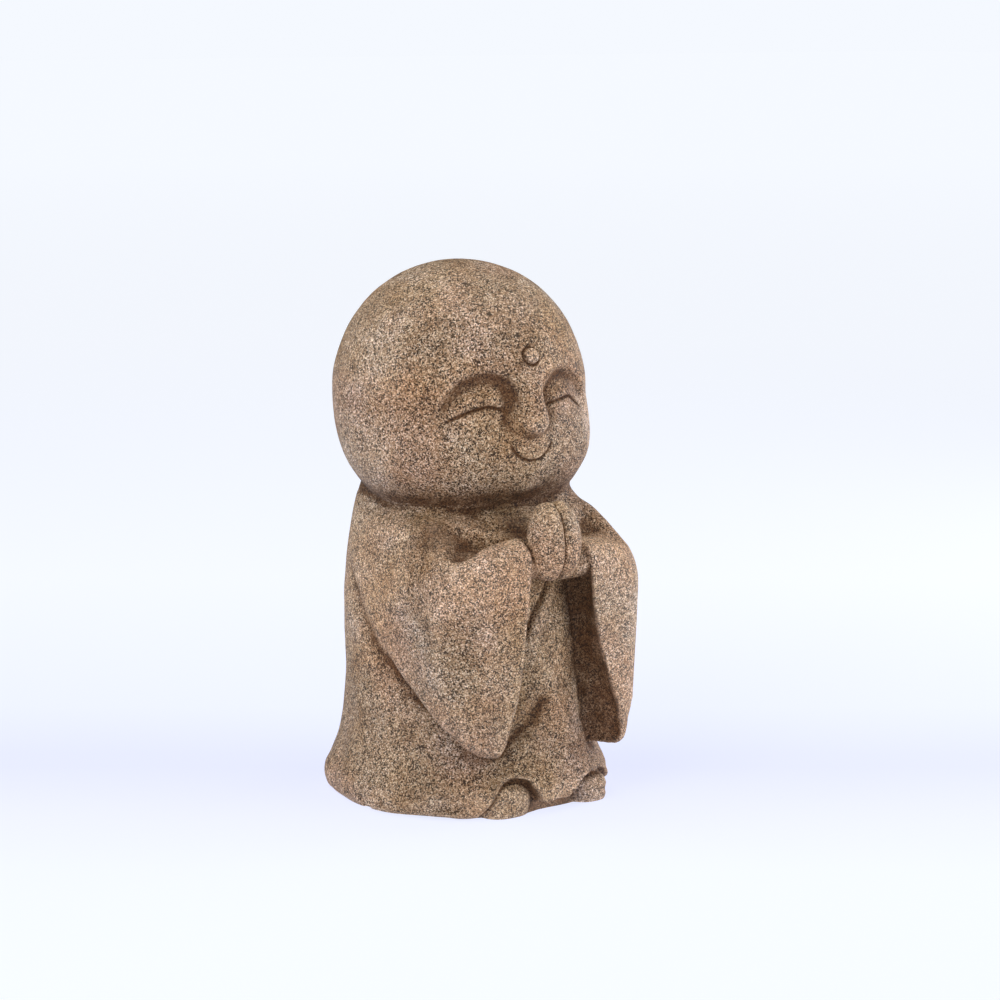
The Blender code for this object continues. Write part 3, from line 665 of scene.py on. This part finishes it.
# %% Finer where the chisel goes
def side_keys(triangles, count):
    """One number for each side of each triangle: lower point number * count + higher one."""
    sides = np.sort(triangles[:, [[0, 1], [1, 2], [2, 0]]], axis=2).reshape(-1, 2)
    return sides.astype(np.int64) @ [count, 1]


def split_once(points, triangles, wanted):
    """Cuts every edge that is longer than wanted(middle of the edge)."""
    key, which = np.unique(side_keys(triangles, len(points)), return_inverse=True)
    ends = np.stack([key // len(points), key % len(points)], -1)
    middle = points[ends].mean(1)
    length = np.linalg.norm(points[ends[:, 0]] - points[ends[:, 1]], axis=1)
    cut = length > wanted(middle)
    number = np.where(cut, len(points) + np.cumsum(cut) - 1, -1)
    new = number[which.reshape(-1)].reshape(-1, 3)
    count = (new >= 0).sum(1)
    first = np.where(count == 2, (np.argmax(new < 0, axis=1) + 1) % 3, np.argmax(new >= 0, axis=1))
    order = (first[:, None] + np.arange(3)) % 3
    (a, b, c), (ab, bc, ca) = (np.take_along_axis(t, order, 1).T for t in (triangles, new))
    cuts = {0: [(a, b, c)],
            1: [(a, ab, c), (ab, b, c)],
            2: [(ab, b, bc), (a, ab, bc), (a, bc, c)],
            3: [(a, ab, ca), (ab, b, bc), (ca, bc, c), (ab, bc, ca)]}
    parts = [np.stack(t, -1)[count == n] for n, pieces in cuts.items() for t in pieces]
    return np.vstack([points, middle[cut]]), np.concatenate(parts)


def face_angles(points):
    """Turn and tilt in radians of the direction from the head's middle, and the distance."""
    v = points - HEAD_CENTRE
    far = np.linalg.norm(v, axis=1)
    return np.arctan2(v[:, 0], -v[:, 1]), np.arcsin(v[:, 2] / far), far


FINE_EDGE, FACE_EDGE, GROOVE_EDGE, HAND_EDGE = 0.00075, 0.0017, 0.0009, 0.0018


def wanted_edge(middle):
    """Short edges on the cut lines of the face, longer on the rest of it and on the hands."""
    turn, tilt, far = face_angles(middle)
    across, up = np.degrees(turn) * np.cos(tilt), np.degrees(tilt)
    on_head = far < 0.112
    near_line = np.zeros(len(middle))
    area = on_head & (np.abs(across) < 56) & (up > -44) & (up < 30)
    for path, _, _ in CUTS:
        near_line[area] += drawn_line(across[area], up[area], path, [1, 1], [1.6])
    near_line += on_head * bell(np.hypot(across, up - MARK_TILT), 5.5)
    length = np.where(near_line > 0.3, FINE_EDGE, np.where(area, FACE_EDGE, 1.0))
    x, y, z = middle.T
    hands = (np.abs(x) < 0.024) & (y < -0.082) & (z > 0.166) & (z < 0.236)
    in_groove = hands & (np.abs(x) < 0.0035)
    return np.where(in_groove, GROOVE_EDGE, np.where(hands, HAND_EDGE, length))


for _ in range(4):
    points, triangles = split_once(points, triangles, wanted_edge)
print("after splitting", len(triangles), "triangles")

# %% [markdown]
# ## The face, cut exactly
#
# Remeshing and wear blur the finest cuts. So every point of the head is put back on the head's
# own formula, which makes the eyelids and the mouth crisp. Near the collar it keeps its old
# place, because there it belongs to the robe too.

# %% The face, cut exactly
turn, tilt, far = face_angles(points)
level = np.hypot(points[:, 0], points[:, 1])
collar_gap = level - robe_reach(np.arctan2(points[:, 0], -points[:, 1]), points[:, 2])
outside = np.where(points[:, 2] > ROBE_TOP, 1.0, ramp(collar_gap, 0.0005, 0.0050))
exact = head_reach(turn, tilt)
share = outside * (points[:, 2] > 0.224) * ramp(np.abs(far - exact), 0.012, 0.008)
points = points + (share * (exact - far) / far)[:, None] * (points - HEAD_CENTRE)
print("put back on the head:", int((share > 0.5).sum()), "points")

# %% [markdown]
# ## Between the palms
#
# The palms touch along the middle plane, where remeshing made them one. A real gap would be
# thinner than a cell. So a fine groove with soft shoulders is cut there, over the fingertips
# and down the front.

# %% Between the palms
def normals_of(points, triangles):
    """Sum of the cross products of the triangles round each point, made one long."""
    a, b, c = (points[corner] for corner in triangles.T)
    total = [sum(np.bincount(corner, part, len(points)) for corner in triangles.T)
             for part in np.cross(b - a, c - a).T]
    total = np.stack(total, -1)
    return total / np.maximum(np.linalg.norm(total, axis=1), 1e-12)[:, None]


x, y, z = points.T
on_hands = ramp(y, -0.086, -0.094) * ramp(z, 0.1715, 0.1765) * (z < 0.240) * (far > 0.100)
groove = 1.7 * bell(x, 0.0011) + 1.1 * bell(x, 0.0032)
points = points - MM * (groove * on_hands)[:, None] * normals_of(points, triangles)
print("groove through", int((groove * on_hands > 0.5).sum()), "points")

# %% [markdown]
# ## Hand work
#
# No carved skin is perfectly even. The Displace modifier could do this with a texture, but each
# place needs its own strength. So random numbers on a coarse lattice, blended smoothly between,
# move the skin by a third of a millimetre, with finer marks on top. The foot is rougher, and
# small flakes have come off it. The seeds are fixed, so the statue is the same each time.

# %% Hand work
COUNT = 64                       # the lattice of random numbers repeats after so many cells


def unevenness(points, size, seed):
    """Random numbers from -1 to 1 on a lattice of the given size, blended by t*t*(3 - 2*t)."""
    lattice = np.random.default_rng(seed).uniform(-1, 1, (COUNT, COUNT, COUNT))
    cell = points / size + 1000.0
    base = np.floor(cell).astype(int)
    t = cell - base
    t = t * t * (3 - 2 * t)
    total = np.zeros(len(points))
    for corner in np.ndindex(2, 2, 2):
        weight = np.prod(np.where(corner, t, 1 - t), axis=1)
        i, j, k = ((base + corner) % COUNT).T
        total += weight * lattice[i, j, k]
    return total


normals = normals_of(points, triangles)
x, y, z = points.T
low_front, foot = ramp(z, 0.100, 0.060) * ramp(y, -0.050, -0.075), ramp(z, 0.024, 0.010)
lift = np.zeros(len(points))
for where, height, size, seed in ((1, 0.30, 0.017, 1), (1, 0.16, 0.0065, 2),
                                  (low_front, 0.45, 0.0042, 3), (foot, 0.7, 0.012, 4)):
    lift += where * height * unevenness(points, size, seed)
lift -= foot * ramp(unevenness(points, 0.008, 5), 0.20, 0.50)
lift *= ramp(z, 0.0002, 0.004)
points = points + MM * lift[:, None] * normals
print(f"hand work from {lift.min():.2f} to {lift.max():.2f} mm")

# %% [markdown]
# ## Where stains gather
#
# Dust, wax and rain leave their brown in the hollows. It could be painted on, but measured it
# follows every carved line. A hollow is where a worn copy of the skin lies outside it. A few
# rounds of wear find the fine hollows, many rounds the broad ones. The answer is a number for
# each point, which the stone's material reads.

# %% Where stains gather
def hollowness(rounds):
    """Millimetres that a worn copy lies outside the skin, along its normal."""
    copy = worn(points, edges, np.full(len(points), 0.6), rounds)
    return np.einsum("ij,ij->i", copy - points, normals) / MM


key = np.unique(side_keys(triangles, len(points)))
edges = np.stack([key // len(points), key % len(points)], -1)
normals = normals_of(points, triangles)
fine, broad = hollowness(8), hollowness(90)
hollow = ramp(fine, 0.05, 0.8) * 0.6 + ramp(broad, 0.05, 2.0)
print(f"hollows up to {fine.max():.1f} mm fine and {broad.max():.1f} mm broad")

# %% [markdown]
# ## Stains and painted shade on the face
#
# Some places stay brown because the rain never rinses them, and some lie in shade. On the face,
# brown patina and painted shade go together in the socket under each brow, along both sides of
# the nose and under the chin. Just under the nose it is painted shade, and beside the chin on the
# left it is a little darker.

# %% Stains and painted shade on the face
x, y, z = points.T
turn, tilt, far = face_angles(points)
across, up = np.degrees(turn) * np.cos(tilt), np.degrees(tilt)
side = np.abs(across - NOSE_TURN)
below = under_brow(side, up)
on_face = (far < 0.114) * ramp(-y, 0.02, 0.05) * ramp(z, 0.215, 0.225)
on_chin = on_face * bell(side, 8) * bell(up + 39.5, 4)
left_socket = window(across, 6, 12, 38, 46) * ramp(below, -0.5, 2.5) * ramp(up, -4, 0)
left_corner = ramp(across, 26, 38) * window(up, -12, -4, 12, 20)
less_to_the_left = (1 - 0.6 * ramp(across, 9, 20)) * (1 - 0.35 * ramp(across, 4, 10))
# Painted shade under the brow, with brown patina, less to the left.
brow = bell(below - 3.2, 3.4) * window(side, 5.5, 9, 33, 45) * less_to_the_left
# Painted shade along both sides of the nose, with brown patina.
nose = drawn_line(side + left_gap(across, up), up, NOSE_SIDE, [0.5, 0.9, 1.0, 0.9, 0.5], [3.4])
# lip: painted shade just under the tip of the nose.
lip = bell(across + 2.5, 5) * bell(up + 16.6, 1.6)
# Darker beside the chin on the left.
left_of_chin = bell(across - 18, 7) * bell(up + 38, 4.5)
hollow = (hollow + 0.28 * on_face * left_socket) * (1 - 0.6 * on_face * left_corner)
hollow += on_face * (0.85 * brow + nose + 0.6 * lip + 0.35 * left_of_chin)
# Brown patina and painted shade under the chin, less on the chin's own bump.
hollow += 0.95 * ramp(-up, 34, 48) * (z > 0.226) * (1 - 0.8 * on_chin)
print("darkened points on the face:", int(((hollow > 0.5) & (on_face > 0.5)).sum()))

# %% [markdown]
# ## Painted shade on the robe
#
# On the robe, painted shade darkens the crooks of the arms, the pocket behind the hands, the inside
# of each sleeve, whatever looks down, the arches over the toes and the line under the sleeve's
# edge, and the front is darker towards the bottom. The chisel's lines on the face come last and
# stay the darkest, as painted shade with brown patina in the cuts.

# %% Painted shade on the robe
def near(place, wide, tall):
    """On both sides: bell(level distance from the place) * bell(height above it)."""
    level_gap = np.hypot(np.abs(x) - place[0], y - place[1])
    return bell(level_gap, wide) * bell(z - place[2], tall)


deg, level = np.degrees(np.arctan2(x, -y)), np.hypot(x, y) / MM
# Less painted shade on the chest; painted shade in the crooks of the arms, more on the right.
chest = near((0.042, -0.062, 0.205), 0.017, 0.014)
elbow = near((0.073, -0.064, 0.208), 0.021, 0.014)
# Painted shadow in the pocket behind the hands.
pocket = bell(x + 0.009, 0.013) * bell(z - 0.209, 0.011) * window(-y, 0.050, 0.062, 0.080, 0.090)
# Painted shade on the inside of each sleeve's mouth.
looks_in = ramp(-normals[:, 0] * np.sign(x), 0.40, 0.75) * ramp(np.abs(x), 0.020, 0.028)
in_mouth = looks_in * ramp(-y, 0.070, 0.080) * window(z, 0.028, 0.040, 0.178, 0.196)
# Painted shade on whatever looks down.
looks_down = ramp(-normals[:, 2], 0.3, 0.8) * (z > 0.012)
# Painted shadow under the arches of the hem over the toes.
under_hem = hem_height(deg) - z / MM
at_toes = ramp(np.abs(deg), 58, 48) * (z < 0.034)
arches = 0.9 * bell(under_hem - 1.6, 2.0) + 0.8 * ramp(under_hem, 0, 2) * ramp(level, 97.5, 94.5)
# Darker towards the bottom of the front.
low_front = ramp(z, 0.120, 0.060) * ramp(np.abs(deg), 75, 45)
# Painted shade on the robe along the sleeve's lower edge.
under_edge = drawn_line(np.abs(deg), z / MM, UNDER_SLEEVE, [0.5, 0.7, 0.6, 0.4, 0.2], [8.0], DEGREE)
hollow = hollow * (1 - 0.55 * chest) + np.where(x < 0, 0.85, 0.35) * elbow + 1.3 * pocket
hollow += 0.95 * in_mouth + 0.4 * looks_down + at_toes * arches + 0.20 * low_front
hollow = np.clip(hollow + 0.6 * under_edge, 0, 1)
# Painted shade with brown patina in the cut lines of the eyes and mouth and in the ring round the
# mark.
for line, wide in ((RIGHT_EYE, 0.80), (LEFT_EYE, 0.80), (MOUTH, MOUTH_WIDTH)):
    chiselled = drawn_line(across, up, line, [0.8, 1, 1, 0.8], [wide])
    hollow = np.maximum(hollow, 1.7 * on_face * chiselled)
hollow = np.maximum(hollow, 1.5 * on_face * bell(from_mark(across, up) - MARK_RING, 0.15))
print(f"hollow {hollow.mean():.3f} on average")

# %% [markdown]
# ## Worn ridges and painted light
#
# Hands, cloths and rain leave the stone paler where it stands out, and light catches it there
# too. Ridges are the opposite of hollows, and they are made paler as wear and as a painted
# highlight. To them come places painted paler, as if more light fell there: the left sleeve and
# the left jaw as a painted sheen, the back of the right arm, the front, the right skirt, the hands,
# the toes, the chin and the left cheek, and the mark and the sleeves' edges, which are also worn.
# Each has its strength. Where two of these overlap the stronger counts, and stain and painted
# shade outdo both.

# %% Worn ridges and painted light
sleeve_edge = drawn_line(np.abs(deg) + 5.5, z / MM, UNDER_SLEEVE, [0.8, 1, 0.8, 0.4], [3.0], DEGREE)
# Places painted paler as if more light fell there; the mark and the sleeves' edges are also worn.
LIT_AND_WORN = {
    "left sleeve":
        ramp(x, 0.026, 0.040) * ramp(-y, 0.02, 0.06) * window(z, 0.045, 0.075, 0.190, 0.205),
    "back of the right arm":
        0.8 * ramp(-x, 0.068, 0.084) * ramp(y, -0.060, -0.038) * bell(z - 0.165, 0.060),
    "edges of the sleeves": 0.9 * sleeve_edge * ramp(level, 86, 91),
    "hands": 0.3 * window(z, 0.170, 0.185, 0.230, 0.236) * ramp(-y, 0.088, 0.098),
    "front": 0.5 * bell(x - 0.012, 0.020) * ramp(-y, 0.072, 0.084) * bell(z - 0.110, 0.045),
    "right skirt": 0.3 * ramp(-x, 0.060, 0.080) * window(z, 0.015, 0.030, 0.090, 0.105),
    "toes": ramp(z, 0.026, 0.016) * ramp(-y, 0.078, 0.090),
    "mark": on_face * ramp(from_mark(across, up), 0.98, 0.86),
    "left jaw": on_face * ramp(across, 32, 45) * window(up, -36, -26, -6, 2),
    "chin": 0.6 * on_chin,
    "left cheek": 0.3 * on_face * bell(across - 8, 16) * bell(up + 26, 9)}
lit_and_worn = np.max(list(LIT_AND_WORN.values()), axis=0)
# Paler on ridges: wear, and a painted highlight.
ridge = np.clip(ramp(-fine, 0.05, 0.7) * 0.7 + ramp(-broad, 0.5, 3.0) * 0.5, 0, 1)
ridge = np.clip(ridge + 1.05 * lit_and_worn * (1 - np.clip(hollow, 0, 1)), 0, 1)
print(f"lightened {ridge.mean():.3f} on average, in", len(LIT_AND_WORN), "places and on all ridges")

# %% [markdown]
# ## The finished piece
#
# The arrays become a mesh, set down so that the middle of its box is the CAD block's. It stands
# for that block and rides on the statue's one body. It could be several pieces, but the real
# one has no joint, so it is one.

# %% The finished piece
middle = (points.min(0) + points.max(0)) / 2
shift = (block_low + block_high) / 2 - middle
shift[2] = 0.0
points = points + shift
skin = bpy.data.meshes.new("carved_jizo")
skin.from_pydata(points.tolist(), [], triangles.tolist())
# hollow holds brown patina and painted shade, ridge holds wear and painted light.
for name, values in (("hollow", hollow), ("ridge", ridge)):
    attribute = skin.attributes.new(name, "FLOAT", "POINT")
    attribute.data.foreach_set("value", values.astype(np.float32))
skin.shade_smooth()
skin.set_sharp_from_angle(angle=radians(75))
statue = shown("carved_jizo", skin)
for leftover in (rough, block, thin):
    bpy.data.meshes.remove(leftover)
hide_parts(NODE)
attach(statue, "root")
uses = np.unique(side_keys(triangles, len(points)), return_counts=True)[1]
print("set down with a shift of", shift.round(5), "- edges by number of faces", np.bincount(uses))

# %% [markdown]
# ## Helpers for materials
#
# A material is a tree of nodes, which could be wired by hand in the editor. These helpers add
# the nodes, and most of them give back an output, so that the stone can be written down like a
# sum.

# %% Helpers for materials
def node(tree, kind, **settings):
    """A shader node. A setting called _3 fills input number 3, with a link or a value."""
    made = tree.nodes.new("ShaderNode" + kind)
    for name, value in settings.items():
        if hasattr(made, name) and name not in made.inputs:
            setattr(made, name, value)
            continue
        socket = made.inputs[int(name[1:])] if name[0] == "_" else made.inputs[name]
        if isinstance(value, bpy.types.NodeSocket):
            tree.links.new(value, socket)
        else:
            socket.default_value = value
    return made


def bands(tree, factor, stops):
    """A colour ramp from (place, colour) pairs."""
    made = node(tree, "ValToRGB", Fac=factor)
    ramp_stops = made.color_ramp.elements
    while len(ramp_stops) < len(stops):
        ramp_stops.new(0.5)
    for stop, (place, colour) in zip(ramp_stops, stops):
        stop.position = place
        stop.color = (*colour, 1.0)
    return made.outputs["Color"]


def sum_of(tree, a, b, operation="ADD", clamp=False):
    """a + b, or another sum of two numbers."""
    return node(tree, "Math", operation=operation, use_clamp=clamp, _0=a, _1=b).outputs[0]


def blended(tree, factor, a, b, mode="MIX"):
    """Two colours mixed: a * (1 - factor) + b * factor."""
    return node(tree, "Mix", data_type="RGBA", blend_type=mode, _0=factor, _6=a, _7=b).outputs[2]


def spread(tree, value, low, high, to_low=0.0, to_high=1.0):
    """The range low..high stretched to another range, and clamped."""
    return node(tree, "MapRange", _0=value, _1=low, _2=high, _3=to_low, _4=to_high).outputs[0]


def noise(tree, where, scale, detail=3.0, roughness=0.5):
    """Clouds, as a number round 0.5 and as a colour. The scale is in clouds for each metre."""
    return node(tree, "TexNoise", Vector=where, Scale=scale, Detail=detail, Roughness=roughness)


def new_material(name):
    """A material with its node tree and its shader."""
    material = bpy.data.materials.new(name)
    material.use_nodes = True
    return material, material.node_tree, material.node_tree.nodes["Principled BSDF"]


# %% [markdown]
# ## Grains
#
# This granite is fine: cream and tan feldspar with nearly black mica. A ready stone texture
# could be wrapped round it, but it would stretch and show its edges, while a pattern in space
# runs through the block as grains do. Each cell of a Voronoi pattern is one grain, and its
# random number picks its shade. A second pattern, set aside from the first, scatters mica over
# the pale grains, more where a cloud crowds it.

# %% Grains
WHITE = (1, 1, 1, 1)
FELDSPAR = [(0.05, (0.188, 0.111, 0.060)), (0.30, (0.362, 0.230, 0.131)),
            (0.62, (0.498, 0.348, 0.220)), (0.92, (0.765, 0.618, 0.458))]
TAN, MICA = (0.200, 0.122, 0.070, 1), (0.030, 0.017, 0.009, 1)
PALE_SCALE, DARK_SCALE = 1220.0, 1120.0          # cells for each metre
WOBBLE, ASIDE = (0.0009, 0.0009, 0.0009), (0.31, 0.17, 0.23)     # metres


def grains(tree, where):
    """The colour of the grains, how much of it is mica, and how high each grain stands."""
    wobble = noise(tree, where, 900.0, 2.0).outputs["Color"]
    wobble = node(tree, "VectorMath", operation="MULTIPLY_ADD", _0=wobble, _1=WOBBLE,
                  _2=where).outputs[0]
    aside = node(tree, "VectorMath", operation="ADD", _0=wobble, _1=ASIDE).outputs[0]
    pale = node(tree, "TexVoronoi", Vector=wobble, Scale=PALE_SCALE)
    dark = node(tree, "TexVoronoi", Vector=aside, Scale=DARK_SCALE)
    pale_random = node(tree, "SeparateColor", Color=pale.outputs["Color"])
    dark_random = node(tree, "SeparateColor", Color=dark.outputs["Color"])
    crowd = noise(tree, where, 150.0, roughness=0.6).outputs["Fac"]
    colour = bands(tree, pale_random.outputs[0], FELDSPAR)
    tan = spread(tree, dark_random.outputs[1], 0.66, 0.74, 0.0, 0.75)
    colour = blended(tree, tan, colour, TAN)
    mineral = sum_of(tree, dark_random.outputs[0], spread(tree, crowd, 0.3, 0.7, -0.22, 0.22))
    mica = spread(tree, mineral, 0.68, 0.73)
    colour = blended(tree, sum_of(tree, mica, 0.94, "MULTIPLY"), colour, MICA)
    height = sum_of(tree, spread(tree, pale.outputs["Distance"], 0.0, 0.8, 1.0, 0.0),
                    sum_of(tree, dark_random.outputs[2], 0.8, "MULTIPLY"))
    return colour, mica, height


# %% [markdown]
# ## Clouds and weather
#
# Granite that has stood outside is pinker, more ochre, fresher or duller from place to place.
# Mixing in a flat colour would hide the grains, so broad clouds multiply the colour by a tint.
# Stain with painted shade, and wear with painted light, do the same with the numbers on the
# points, and then cover the grains a little.

# %% Clouds and weather
PINK, OCHRE = (1.05, 0.95, 0.93, 1), (1.03, 0.97, 0.84, 1)
FRESH, DULL = (1.14, 1.20, 1.32, 1), (0.84, 0.78, 0.70, 1)
# for each: the tint it multiplies by, the colour it covers with, and how much it covers
# dark brown for patina and for painted shade
STAIN_AND_SHADE = (0.40, 0.28, 0.19, 1), (0.062, 0.034, 0.018, 1), 0.40
# pale and bluish, for wear and for painted light
LIGHT_AND_WEAR = (1.50, 1.53, 1.58, 1), (0.640, 0.500, 0.385, 1), 0.16


def clouded(tree, where, colour):
    """colour * pink * ochre * fresh * dull, each tint where its own cloud lies."""
    cloud = noise(tree, where, 11.0, roughness=0.55).outputs["Color"]
    cloud = node(tree, "SeparateColor", Color=cloud).outputs
    patch = noise(tree, where, 30.0, roughness=0.55).outputs["Fac"]
    for number, begin, full, tint in ((cloud[0], 0.42, 0.62, PINK), (cloud[1], 0.44, 0.62, OCHRE),
                                      (patch, 0.52, 0.66, FRESH), (patch, 0.48, 0.34, DULL)):
        cloud_colour = blended(tree, spread(tree, number, begin, full), WHITE, tint)
        colour = blended(tree, 1.0, colour, cloud_colour, "MULTIPLY")
    return colour


def covered(tree, share, colour, tint, cover, amount):
    """The colour times a tint, mixed with a cover colour, where the share is 1."""
    changed = blended(tree, 1.0, colour, tint, "MULTIPLY")
    return blended(tree, share, colour, blended(tree, amount, changed, cover))


# %% [markdown]
# ## Stone
#
# All of it comes together in one material, since the statue is one stone. Mica is a little
# shinier, and stone under stain and painted shade a little duller. The bump holds only the height
# of single grains and the pits between them, because whatever is larger is real shape.

# %% Stone
def granite():
    """Grains, clouds, stain with painted shade, and wear with painted light in one material."""
    material, tree, shader = new_material("granite")
    where = node(tree, "TexCoord").outputs["Object"]
    colour, mica, height = grains(tree, where)
    colour = clouded(tree, where, colour)
    hollow = node(tree, "Attribute", attribute_name="hollow").outputs["Fac"]
    ridge = node(tree, "Attribute", attribute_name="ridge").outputs["Fac"]
    patchy = spread(tree, noise(tree, where, 60.0).outputs["Fac"], 0.3, 0.7, 0.6, 1.15)
    stain_and_shade = sum_of(tree, hollow, patchy, "MULTIPLY", clamp=True)
    colour = covered(tree, stain_and_shade, colour, *STAIN_AND_SHADE)
    colour = covered(tree, sum_of(tree, ridge, 0.7, "MULTIPLY"), colour, *LIGHT_AND_WEAR)
    dullness = sum_of(tree, spread(tree, mica, 0.0, 1.0, 0.68, 0.55),
                      sum_of(tree, stain_and_shade, 0.12, "MULTIPLY"))
    pits = spread(tree, noise(tree, where, 300.0).outputs["Fac"], 0.30, 0.45)
    bump = node(tree, "Bump", Strength=0.55, Distance=0.00035, Height=sum_of(tree, height, pits))
    tree.links.new(colour, shader.inputs["Base Color"])
    tree.links.new(dullness, shader.inputs["Roughness"])
    tree.links.new(bump.outputs[0], shader.inputs["Normal"])
    shader.inputs["Specular IOR Level"].default_value = 0.20
    return material


skin.materials.append(granite())
print("stone with", len(skin.materials[0].node_tree.nodes), "nodes")

# %% [markdown]
# ## Floor
#
# The floor is pale and faintly blue. Its paint is dark, so it takes only a hint of shadow, and
# nearly all of its brightness is a glow, as on a table lit from below. Just behind the statue
# the glow is a little dimmer and bluer, a painted soft shadow, then it rises to the backdrop's,
# so no edge shows.

# %% Floor
BACKDROP = (0.913, 0.945, 1.0)
FLOOR_PAINT, HALF_FLOOR = (0.16, 0.16, 0.20, 1), 30.0
# the glow towards the back, dimmer in a painted shadow band just behind the statue: place in the
# range of FLOOR_RANGE metres, and colour
FLOOR_RANGE = (-1.0, 9.0)
FLOOR_GLOW_AND_SHADOW = [(0.077, (0.79, 0.83, 0.95)), (0.092, (0.76, 0.79, 0.93)),
              (0.107, (0.69, 0.725, 0.925)), (0.125, (0.76, 0.80, 0.94)),
              (0.180, (0.84, 0.875, 0.95)), (0.400, (0.88, 0.91, 0.97)), (1.0, BACKDROP)]


def studio_floor():
    """A wide flat sheet with a painted soft shadow band across it behind the statue."""
    mesh = bpy.data.meshes.new("studio_floor")
    corners = [(a * HALF_FLOOR, b * HALF_FLOOR, 0) for a, b in ((-1, -1), (1, -1), (1, 1), (-1, 1))]
    mesh.from_pydata(corners, [], [(0, 1, 2, 3)])
    material, tree, shader = new_material("pale_floor")
    where = node(tree, "TexCoord").outputs["Object"]
    back = node(tree, "VectorMath", operation="DOT_PRODUCT", _0=where, _1=(0.6, 0.8, 0))
    glow_and_shadow = bands(tree, spread(tree, back.outputs["Value"], *FLOOR_RANGE), FLOOR_GLOW_AND_SHADOW)
    tree.links.new(glow_and_shadow, shader.inputs["Emission Color"])
    for name, value in (("Base Color", FLOOR_PAINT), ("Roughness", 0.9),
                        ("Specular IOR Level", 0.0), ("Emission Strength", 1.0)):
        shader.inputs[name].default_value = value
    mesh.materials.append(material)
    floor = shown("studio_floor", mesh)
    print("floor", 2 * HALF_FLOOR, "m wide")


studio_floor()

# %% [markdown]
# ## Light
#
# Soft square lamps make a studio tent, all of one size and turned to the middle of the statue.
# Their names say left and right as seen from in front. None stands next to the camera, so the
# mouth of the sleeve and the place under the chin stay dark. The surroundings add a faint even
# light.

# %% Light
LAMP_SIZE, AIM = 0.9, Vector((0, 0, 0.2))
# place in metres, power in watts and colour of each lamp
LAMPS = {
    "left_low": ((-1.519, -0.676, 0.553), 6.0, (1, 1, 1)),
    "left_high": ((-1.098, -0.489, 1.402), 10.0, (1, 1, 1)),
    "back_left": ((-0.972, 0.707, 1.402), 7.4, (1, 1, 1)),
    "ceiling": ((0, 0.001, 1.9), 5.0, (1, 1, 1)),
    "right_side": ((1.654, -0.174, 0.553), 12.2, (0.95, 0.98, 1.06)),
    "front_right": ((0.676, -1.519, 0.553), 9.9, (0.98, 1.0, 1.04)),
    "right_low": ((1.345, -0.977, 0.553), 2.1, (1, 1, 1)),
    "right_high": ((0.972, -0.707, 1.402), 4.2, (1, 1, 1))}
for name, (place, power, colour) in LAMPS.items():
    lamp = bpy.data.lights.new(name, "AREA")
    lamp.size, lamp.energy, lamp.color = LAMP_SIZE, power, colour
    holder = shown(name, lamp)
    holder.location = place
    holder.rotation_euler = (AIM - Vector(place)).to_track_quat("-Z", "Y").to_euler()

world = bpy.data.worlds.new("surroundings")
bpy.context.scene.world = world
world.use_nodes = True
sky = world.node_tree.nodes["Background"]
sky.inputs["Color"].default_value = (*BACKDROP, 1)
seen = node(world.node_tree, "LightPath").outputs["Is Camera Ray"]
world.node_tree.links.new(spread(world.node_tree, seen, 0, 1, 0.03, 1.0), sky.inputs["Strength"])
print(len(LAMPS), "lamps, together", sum(power for _, power, _ in LAMPS.values()), "W")

# %% [markdown]
# ## Camera
#
# The camera stands two metres away on the statue's right, higher than its head, and looks down
# by ten degrees. It moves with the statue's small shift.

# %% Camera
CAMERA_PLACE, TURN, TILT, LENS = (-1.2402, -1.7070, 0.578), radians(53.318), radians(-9.672), 103
camera = shown("camera", bpy.data.cameras.new("camera"))
bpy.context.scene.camera = camera
camera.data.lens = LENS
camera.data.sensor_width = 36
camera.location = Vector(CAMERA_PLACE) + Vector(shift)
look = Vector((np.cos(TURN) * np.cos(TILT), np.sin(TURN) * np.cos(TILT), np.sin(TILT)))
camera.rotation_euler = look.to_track_quat("-Z", "Y").to_euler()
bpy.context.scene.view_settings.view_transform = "Standard"
print("camera at", [round(v, 3) for v in camera.location])
